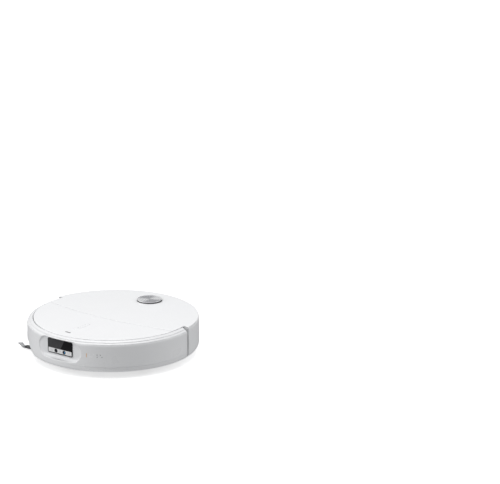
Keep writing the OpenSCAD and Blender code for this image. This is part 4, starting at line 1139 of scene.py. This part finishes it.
def lid_outline():
    x_end, y_end = seam_end(PANEL_R, -SEAM_GAP / 2)
    seam = seam_points(-x_end, -SEAM_GAP / 2, range(61))
    side_start = math.degrees(math.atan2(y_end, x_end))
    side_end = math.degrees(math.asin((STEP_Y - 2.0) / PANEL_R))
    right = arc(0, 0, PANEL_R, PANEL_R, side_start, side_end, 14)[1:]
    inner_x = math.sqrt(PANEL_R**2 - (STEP_Y - 2.0) ** 2)
    outer_x = math.sqrt(COVER_R**2 - STEP_Y**2)
    bend = arc(inner_x + 2.0, STEP_Y - 2.0, 2.0, 2.0, 180, 90, 5)[1:]
    corner = [(outer_x - 3.0, STEP_Y), (outer_x - 1.2, STEP_Y + 0.15), (outer_x - 0.3, STEP_Y + 1.0)]
    rear_start = math.degrees(math.asin((STEP_Y + 3.0) / COVER_R))
    rear = arc(0, 0, COVER_R, COVER_R, rear_start, 180 - rear_start, 130)
    half = right + bend + corner
    return seam + half + rear + [(-x, y) for x, y in reversed(half)]


def cover_skin(outline, focus, hole_r=0.0):
    """A domed cover with rounded rims over an outline. It has a round hole about focus if hole_r is set."""
    bm = bmesh.new()
    edge = 0.7
    rings = [[(x, y, COVER_UNDER_Z) for x, y in outline]]
    for i in range(5):
        t = math.radians(90 * i / 4)
        rings.append(dome_ring(inset(outline, edge * (1 - math.cos(t))), -edge * (1 - math.sin(t))))
    rim = [(x, y) for x, y, _ in rings[-1]]
    ends = []
    for x, y in rim:
        away = Vector((x - focus[0], y - focus[1]))
        away = away.normalized() * (hole_r + edge) if hole_r else away * 0.02
        ends.append((focus[0] + away.x, focus[1] + away.y))
    for i in range(1, 25):
        share = i / 24
        ring = [(x + (ex - x) * share, y + (ey - y) * share) for (x, y), (ex, ey) in zip(rim, ends)]
        rings.append(dome_ring(ring))
    if not hole_r:
        loft(bm, rings)
        return bm
    for i in range(1, 5):
        t = math.radians(90 * i / 4)
        shrink = (hole_r + edge * (1 - math.sin(t))) / (hole_r + edge)
        ring = [(focus[0] + (x - focus[0]) * shrink, focus[1] + (y - focus[1]) * shrink) for x, y in ends]
        rings.append(dome_ring(ring, -edge * (1 - math.cos(t))))
    rings.append([(x, y, COVER_UNDER_Z) for x, y, _ in rings[-1]])
    start, end = loft(bm, rings, cap_first=False, cap_last=False)
    edges = [bm.edges.get((ring[i - 1], ring[i])) for ring in (start, end) for i in range(len(ring))]
    bmesh.ops.bridge_loops(bm, edges=edges)
    return bm


# The lid's skin stands this far over the CAD lid, which stays under it
LID_SKIN_LIFT = 0.15


def pierce(bm, outline):
    """Cuts an outline right through a cover."""
    cutter = bmesh.new()
    slab(cutter, outline, EDGE_Z - 6, EDGE_Z + 9, 0.01)
    return carve(bm, cutter)


def button_outline(gap):
    x0, y0 = middle("power_button", "X"), middle("power_button", "Y")
    w, length = width("power_button", "X") + 2 * gap, width("power_button", "Y") + 2 * gap
    return [(x0 - y, y0 + x) for x, y in stadium_outline(length, w)]


def make_covers():
    bm = cover_skin(panel_outline(), (0.0, -88.0))
    bm = pierce(bm, button_outline(0.35))
    bm = pierce(bm, light_outline(0.25))
    for x, y in ((-25, -115), (25, -115), (0, -72)):
        bm = pierce(bm, [(x + px, y + py) for px, py in circle_outline(0.7, 16)])
    add_piece(bm, "front_panel_skin", "cover_white", "chassis", "front_panel")
    bm = cover_skin(lid_outline(), (0.0, LIDAR_Y), LIDAR_R + 0.9)
    bm.transform(Matrix.Translation((0, 0, LID_SKIN_LIFT)))
    add_piece(bm, "lid_skin", "cover_white", "lid")


def light_outline(gap):
    w, h = width("status_light", "X") + 2 * gap, width("status_light", "Y") + 2 * gap
    return [(x, y + middle("status_light", "Y")) for x, y in stadium_outline(w, h, 8)]


def make_button():
    """The long button: a soft pill with a shallow channel and four small dots."""
    bm = bmesh.new()
    outline = button_outline(0.0)
    rings = [[(x, y, COVER_UNDER_Z - 0.5) for x, y in outline]]
    for lift, shrink in (
        (-0.25, 0.0), (0.15, 0.12), (0.42, 0.45), (0.55, 1.0), (0.52, 1.7), (0.34, 2.2), (0.30, 2.9), (0.36, 4.6)
    ):
        rings.append(dome_ring(inset(outline, shrink), lift))
    loft(bm, rings)
    add_piece(bm, "power_button_cap", "cover_white", "power_button", "power_button")
    dots = bmesh.new()
    x0, y0 = middle("power_button", "X"), middle("power_button", "Y")
    for y, r in ((y0 + 11, 1.1), (y0 - 11, 1.1), (y0 + 4, 0.7), (y0 - 4, 0.7)):
        part = bmesh.new()
        slab(part, circle_outline(r, 24), 0, 0.12, 0.03)
        part.transform(Matrix.Translation((x0, y, dome_z(x0, y) + 0.30)))
        copy_into(dots, part)
    add_piece(dots, "button_dots", "grey_ink", "power_button")


def make_status_light():
    bm = bmesh.new()
    outline = light_outline(0.0)
    rings = [[(x, y, COVER_UNDER_Z) for x, y in outline]]
    for lift, shrink in ((-0.12, 0.0), (0.02, 0.15), (0.05, 0.5)):
        rings.append(dome_ring(inset(outline, shrink), lift))
    loft(bm, rings)
    add_piece(bm, "status_light_lens", "light_smoke", "chassis", "status_light")


def make_lidar_cap():
    """The turret's spun metal cap: a dished face inside a polished rim."""
    bm = bmesh.new()
    r, z = LIDAR_R, CAP_TOP
    profile = [(0, z - 0.55), (r * 0.35, z - 0.53), (r * 0.7, z - 0.46), (r - 3.0, z - 0.36)]
    profile += [(r - 2.4, z - 0.30), (r - 2.1, z - 0.06), (r - 1.8, z)]
    profile += arc(r - 0.8, z - 0.7, 0.8, 0.7, 90, 0, 5)
    profile += [(r, CAP_LOW + 0.2), (r - 0.25, CAP_LOW), (0, CAP_LOW)]
    revolve(bm, profile, (0, LIDAR_Y), 128)
    add_piece(bm, "lidar_cap_plate", "brushed_metal", "lidar_turret", "lidar_cap", sharp=25)
    band = bmesh.new()
    section = ((-1.2, -2.6), (-0.5, -2.6), (-0.35, -2.2), (-0.35, -0.15), (-1.2, -0.15))
    revolve(band, [(r + dr, CAP_LOW + dz) for dr, dz in section], (0, LIDAR_Y), 128, loop=True)
    add_piece(band, "lidar_cap_band", "dark_plastic", "lidar_turret")


def make_crown_ring():
    bm = bmesh.new()
    in_r, out_r = PANEL_R + 1.2, RIM_R + 0.1
    z_low, z_high = low("crown_ring", "Z"), high("crown_ring", "Z")
    slope = []
    for i in range(13):
        t = i / 12
        slope.append((in_r + 0.9 + (out_r - in_r - 1.7) * t, z_high - (z_high - z_low - 0.9) * t**1.5))
    profile = [(in_r, z_high - 0.7), (in_r + 0.12, z_high - 0.3), (in_r + 0.4, z_high - 0.06)] + slope
    profile += [(out_r - 0.35, z_low + 0.62), (out_r - 0.08, z_low + 0.35), (out_r, z_low)]
    profile += [(in_r - 7, z_low), (in_r - 7, z_low + 1.0), (in_r, z_low + 1.0)]
    half = BUMPER_HALF_DEG
    revolve(bm, profile, steps=190, start=-90 - half, sweep=2 * half, loop=True)
    add_piece(bm, "crown_ring_skin", "shell_white", "chassis", "crown_ring", sharp=40)
    # Painted shade: a dark band at the bottom of the gap round the front panel, which darkens the gap line
    gap_shade = bmesh.new()
    gap_shade_low, gap_shade_high = z_low + 1.02, z_low + 1.3
    gap_shade_in, gap_shade_out = PANEL_R + 0.1, in_r - 0.05
    band = [(gap_shade_in, gap_shade_low), (gap_shade_out, gap_shade_low), (gap_shade_out, gap_shade_high), (gap_shade_in, gap_shade_high)]
    revolve(gap_shade, band, steps=190, start=-90 - half, sweep=2 * half, loop=True)
    add_piece(gap_shade, "cover_gap_shade", "belt_rubber", "chassis")


def lay_at_contact(part, side):
    """Lays a shape up against the back, at the left or right charging contact."""
    turn_to_front(part)
    part.transform(Matrix.Rotation(math.radians(180), 4, "Z"))
    part.transform(Matrix.Translation((CONTACT_X * side, 0, CONTACT_Z)))


VENTS, VENT_START_DEG, VENT_STEP_DEG = 11, 44, 2.4


def make_rear_shell():
    round_w, round_h = 9.0, 12.0
    flange_r = 163.3
    wall_top = SHELL_TOP - 0.9
    wall = [(BODY_R, wall_top + (SHELL_LOW + round_h - wall_top) * i / 10) for i in range(10)]
    crown = ((-2.4, -0.6), (-2.0, 0), (-0.9, 0), (-0.3, -0.3))
    profile = (
        [(BODY_R + r, SHELL_TOP + z) for r, z in crown]
        + wall
        + arc(BODY_R - round_w, SHELL_LOW + round_h, round_w, round_h, 0, -90, 12)
        + [(flange_r, SHELL_LOW), (flange_r, SHELL_LOW + 1.8)]
    )
    start = -90 + SHELL_HALF_DEG + 0.3
    bm = arc_skin(profile, start, 360 - 2 * SHELL_HALF_DEG - 0.6, 160, flange_r, SHELL_LOW, SHELL_TOP)
    face_out(bm, from_core)
    piece = make_object(bm, "shell_blank", "shell_white", scale=1.0)
    wall_mod = piece.modifiers.new("wall", "SOLIDIFY")
    wall_mod.thickness = 2.0
    wall_mod.offset = -1.0
    bpy.context.view_layer.update()
    mesh = bpy.data.meshes.new_from_object(piece.evaluated_get(bpy.context.evaluated_depsgraph_get()))
    solid = bmesh.new()
    solid.from_mesh(mesh)
    bpy.data.objects.remove(piece)
    cutter = bmesh.new()
    for i in range(VENTS):
        part = bmesh.new()
        slab(part, stadium_outline(22.0, 2.6, 8), BODY_R - 6, BODY_R + 4, 0.01)
        part.transform(Matrix.Rotation(math.radians(90), 4, "Y"))
        part.transform(Matrix.Translation((0, 0, CREASE_Z + 23)))
        part.transform(Matrix.Rotation(math.radians(VENT_START_DEG + VENT_STEP_DEG * i), 4, "Z"))
        copy_into(cutter, part)
    for side in (-1, 1):
        part = bmesh.new()
        slab(part, rounded_outline(12.3, 9.3, 1.2), BODY_R - 6, BODY_R + 4, 0.01)
        lay_at_contact(part, side)
        copy_into(cutter, part)
    solid = carve(solid, cutter)
    add_piece(solid, "rear_shell_skin", "shell_white", "chassis", "rear_shell")


def make_contacts():
    bm = bmesh.new()
    for side in (-1, 1):
        part = bmesh.new()
        slab(part, rounded_outline(11.8, 8.8, 1.0), BODY_R - 4, BODY_R - 0.25, 0.6)
        lay_at_contact(part, side)
        copy_into(bm, part)
    add_piece(bm, "charging_pads", "contact_metal", "chassis", "charging_contacts")


# ---------------------------------------------------------------- side brush


def filament(bm, points, radius, sides=4):
    """A thin bristle along a short line of points."""
    rings = []
    for i, p in enumerate(points):
        a, b = points[max(i - 1, 0)], points[min(i + 1, len(points) - 1)]
        along = (b - a).normalized()
        across = along.cross(Vector((0, 0, 1)))
        across = across.normalized() if across.length > 1e-6 else Vector((1, 0, 0))
        up = across.cross(along)
        r = radius * (1 - 0.35 * i / (len(points) - 1))
        rings.append([p + (across * math.cos(t) + up * math.sin(t)) * r
                      for t in (2 * math.pi * k / sides for k in range(sides))])
    loft(bm, rings)


def make_side_brush():
    """Two flat kinked tufts of fine bristles; by the hub they take a darker copy of the bristle colour as
    painted shade, and their tips are paler.
    """
    x0, y0 = middle("side_brush_hub", "X"), middle("side_brush_hub", "Y")
    z0, turn = 2.6, math.radians(176.5)
    kink, reach, rise = 50.0, 19.0, math.tan(math.radians(14))
    shaded_roots, tips = bmesh.new(), bmesh.new()
    for arm in (0, 1):
        spin = Matrix.Translation((x0, y0, z0)) @ Matrix.Rotation(turn + math.pi * arm, 4, "Z")
        bend = spin @ Matrix.Translation((kink - 0.6, 0, 0)) @ Matrix.Rotation(math.radians(-16), 4, "Z")
        for i in range(110):
            u = -1 + 2 * (i % 22) / 21 + random.uniform(-0.04, 0.04)
            w = (i // 22 + 0.5 + random.uniform(-0.3, 0.3)) / 5
            z = 0.3 + 1.8 * w
            bends = ((27.0 + 3 * w, 2.3), (40.0, 2.8), (kink - 0.4, 3.3))
            inner = [Vector((x, fan * u, z)) for x, fan in bends]
            outer = []
            length = reach - 2.1 + 1.35 * u - random.uniform(0.0, 0.8)
            for share in (0.0, 0.5, 1.0):
                x = 0.2 + (length - 0.2) * share
                fan = 3.3 + 1.6 * share
                outer.append(Vector((x, fan * u, z + x * rise)))
            filament(shaded_roots, [spin @ p for p in inner], 0.3)
            filament(tips, [bend @ p for p in outer], 0.3)
    # The roots use the darker bristle copy as painted shade
    add_piece(shaded_roots, "side_brush_roots", "dark_bristle", "side_brush")
    add_piece(tips, "side_brush_tufts", "side_bristle", "side_brush", "side_brush_bristles")


# ---------------------------------------------------------------- running gear

WHEEL_Y, WHEEL_Z = middle("left_tyre", "Y"), middle("left_tyre", "Z")
WHEEL_R = width("left_tyre", "Z") / 2


def lay_on_x(bm, x, y, z):
    """Turns a shape about Z into one about X, and puts it in place."""
    bm.transform(Matrix.Translation((x, y, z)) @ Matrix.Rotation(math.radians(90), 4, "Y"))


def make_tyre(side):
    node = side + "_tyre"
    w = width(node, "X")
    hub_r = width(side + "_wheel_hub", "Z") / 2
    half = w / 2
    bm = bmesh.new()
    r = WHEEL_R - 1.9
    profile = [(hub_r + 0.1, -half + 1.0), (hub_r + 1.2, -half + 0.1), (r - 1.8, -half + 0.1)]
    profile += arc(r - 1.8, -half + 1.9, 1.8, 1.8, -90, 0, 5)[1:]
    profile += [(p, -z) for p, z in reversed(profile)]
    revolve(bm, profile, steps=96, loop=True)
    lugs = 26
    for i in range(lugs):
        for row in (-1, 1):
            part = bmesh.new()
            bmesh.ops.create_cube(part, size=1.0)
            for v in part.verts:
                top = v.co.z > 0
                taper = 0.78 if top else 1.0
                x, y = v.co.x * (half - 0.7) * taper, v.co.y * 4.3 * taper
                v.co = Vector((x, y, r - 0.8 + (v.co.z + 0.5) * 2.65))
            bmesh.ops.bevel(part, geom=part.edges, offset=0.4, offset_type="OFFSET", segments=2, profile=0.5,
                            affect="EDGES", clamp_overlap=True, material=-1)
            for v in part.verts:
                v.co.y += row * v.co.x * 0.42
                v.co.x += row * (half / 2 + 0.1)
            part.transform(Matrix.Rotation(math.radians(90), 4, "Y"))
            part.transform(Matrix.Rotation(math.radians(360 * i / lugs), 4, "Z"))
            copy_into(bm, part)
    lay_on_x(bm, middle(node, "X"), WHEEL_Y, WHEEL_Z)
    add_piece(bm, node + "_tread", "tyre_rubber", side + "_wheel", node, sharp=40)


def make_roller():
    """Bristle rows in a V and soft fins between them, over the roller's core."""
    y, z = middle("roller_bristles", "Y"), 21.0
    x_mid = middle("roller_bristles", "X")
    half = width("roller_bristles", "X") / 2
    outer = width("roller_bristles", "Z") / 2 - 0.1
    twist = math.radians(70)
    # Half of a fin's section: distance from the axis and half thickness, from root to tip
    flank = ((8.0, 1.6), (12.0, 0.8), (outer - 0.6, 0.55), (outer, 0.2))
    fin_section = [(r, -t) for r, t in flank] + list(reversed(flank))
    hairs, fins = bmesh.new(), bmesh.new()
    for row in range(6):
        phase = 2 * math.pi * row / 6
        if row % 2:
            rings = []
            count = 37
            for i in range(count):
                x = -half + 2 * half * i / (count - 1)
                a = phase + twist * abs(x) / half
                ring = []
                for r, t in fin_section:
                    c, s = math.cos(a), math.sin(a)
                    ring.append((x_mid + x, y + r * c - t * s, z + r * s + t * c))
                rings.append(ring)
            loft(fins, rings)
            continue
        for i in range(64):
            x = -half + 1.5 + (2 * half - 3) * i / 63
            a = phase + twist * abs(x) / half
            for _ in range(7):
                sway = random.uniform(-0.07, 0.07)
                lean = random.uniform(-1.2, 1.2)
                root_x = x_mid + x + random.uniform(-0.4, 0.4)
                base = Vector((root_x, y + 8.6 * math.cos(a), z + 8.6 * math.sin(a)))
                tip_r = outer - random.uniform(0.0, 1.0)
                tip = Vector((base.x + lean, y + tip_r * math.cos(a + sway), z + tip_r * math.sin(a + sway)))
                filament(hairs, [base, base.lerp(tip, 0.55), tip], 0.22, 3)
    add_piece(hairs, "roller_hairs", "bristle", "roller")
    add_piece(fins, "roller_fins", "fin_rubber", "roller", "roller_bristles", sharp=40)


def make_mop_pad(side):
    """A looped microfibre pad: a flat disc whose pile stands in rings and softens at the rim."""
    node = side + "_mop_pad"
    x0, y0 = middle(node, "X"), middle(node, "Y")
    r, top = width(node, "X") / 2, high(node, "Z")
    bm = bmesh.new()
    profile = [(0, 0.35)]
    rings = 36
    for i in range(1, rings + 1):
        profile.append(((r - 4.0) * i / rings, 0.35))
    profile += arc(r - 4.0, 4.2, 3.6, 3.85, -90, 0, 8)[1:]
    profile += [(r - 0.45, 5.4)] + arc(r - 3.4, 6.0, 3.0, 3.4, 10, 90, 7)
    profile += [(r - 9.0, top - 0.55), (0, top - 0.55)]
    revolve(bm, profile, steps=168)
    for v in bm.verts:
        reach = math.hypot(v.co.x, v.co.y)
        turn = math.atan2(v.co.y, v.co.x)
        if reach < 1.0 or v.co.z > top - 0.6:
            continue
        pile = math.sin(reach * 2.1 + 1.3 * math.sin(turn * 9)) * math.sin(turn * max(6, round(reach * 0.9)))
        bump = 0.28 * pile + random.uniform(-0.14, 0.14)
        if v.co.z < 0.5:
            v.co.z = max(0.02, v.co.z + bump)
        else:
            v.co.x += bump * math.cos(turn)
            v.co.y += bump * math.sin(turn)
            v.co.z += 0.3 * bump
    bm.transform(Matrix.Translation((x0, y0, 0)))
    cloth_pad = add_piece(bm, node + "_cloth", "mop_cloth", side + "_mop", node, sharp=80)


# ---------------------------------------------------------------- CAD nodes that stay, with softened copies


# Faces that meet within this angle become one face
FLAT = math.radians(0.6)


def soften(node, finish, edge, angle=28.0):
    """A copy of a CAD node with its edges rounded, which stands for it."""
    bm = bmesh.new()
    bm.from_mesh(frame["nodes"][node].data)
    bmesh.ops.remove_doubles(bm, verts=bm.verts, dist=0.00002)
    bmesh.ops.dissolve_limit(bm, angle_limit=FLAT, verts=bm.verts, edges=bm.edges)
    piece = make_object(bm, node + "_part", finish, sharp=angle, scale=1.0)
    bevel = piece.modifiers.new("edge", "BEVEL")
    bevel.width = edge * MM
    bevel.segments = 2
    bevel.limit_method = "ANGLE"
    bevel.angle_limit = math.radians(angle)
    bevel.use_clamp_overlap = True
    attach(piece, frame["nodes"][node]["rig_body"])
    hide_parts(node)


# Edge radius in millimetres of each moulded or machined node that is seen with the lid off or from below
EDGES = {
    "base_pan": 0.5, "mid_deck": 0.5, "chassis_wall": 0.4, "roller_housing": 0.5, "roller_guard": 0.4,
    "fan_housing": 0.8, "water_tank": 1.0, "dust_box": 0.8, "dust_box_cover": 0.6, "battery": 0.8,
    "caster_fork": 0.5, "caster_wheel": 0.8, "side_brush_hub": 0.5, "mop_carriage": 0.5, "main_board": 0.15,
    "lidar_turret": 0.4, "lidar_head": 0.4, "filter": 0.3, "roller_motor": 0.5, "side_brush_motor": 0.5,
}
for wheel_side in ("left", "right"):
    for part_name, edge_radius in (("_wheel_arm", 0.5), ("_wheel_hub", 0.5), ("_mop_plate", 0.4)):
        EDGES[wheel_side + part_name] = edge_radius


def dress_nodes():
    slots = {s["node"]: s["material_slot"] for s in frame["record"]["subparts"]}
    for node, piece in frame["nodes"].items():
        piece.data.materials.clear()
        piece.data.materials.append(FINISH[slots[node]])
        if node in EDGES:
            soften(node, slots[node], EDGES[node])


dress_nodes()
make_bumper()
make_recess_dish()
make_window()
make_side_sensor()
make_covers()
make_button()
make_status_light()
make_lidar_cap()
make_crown_ring()
make_rear_shell()
make_contacts()
make_side_brush()
make_wall_marks()
for wheel_side in ("left", "right"):
    make_tyre(wheel_side)
    make_mop_pad(wheel_side)
make_roller()
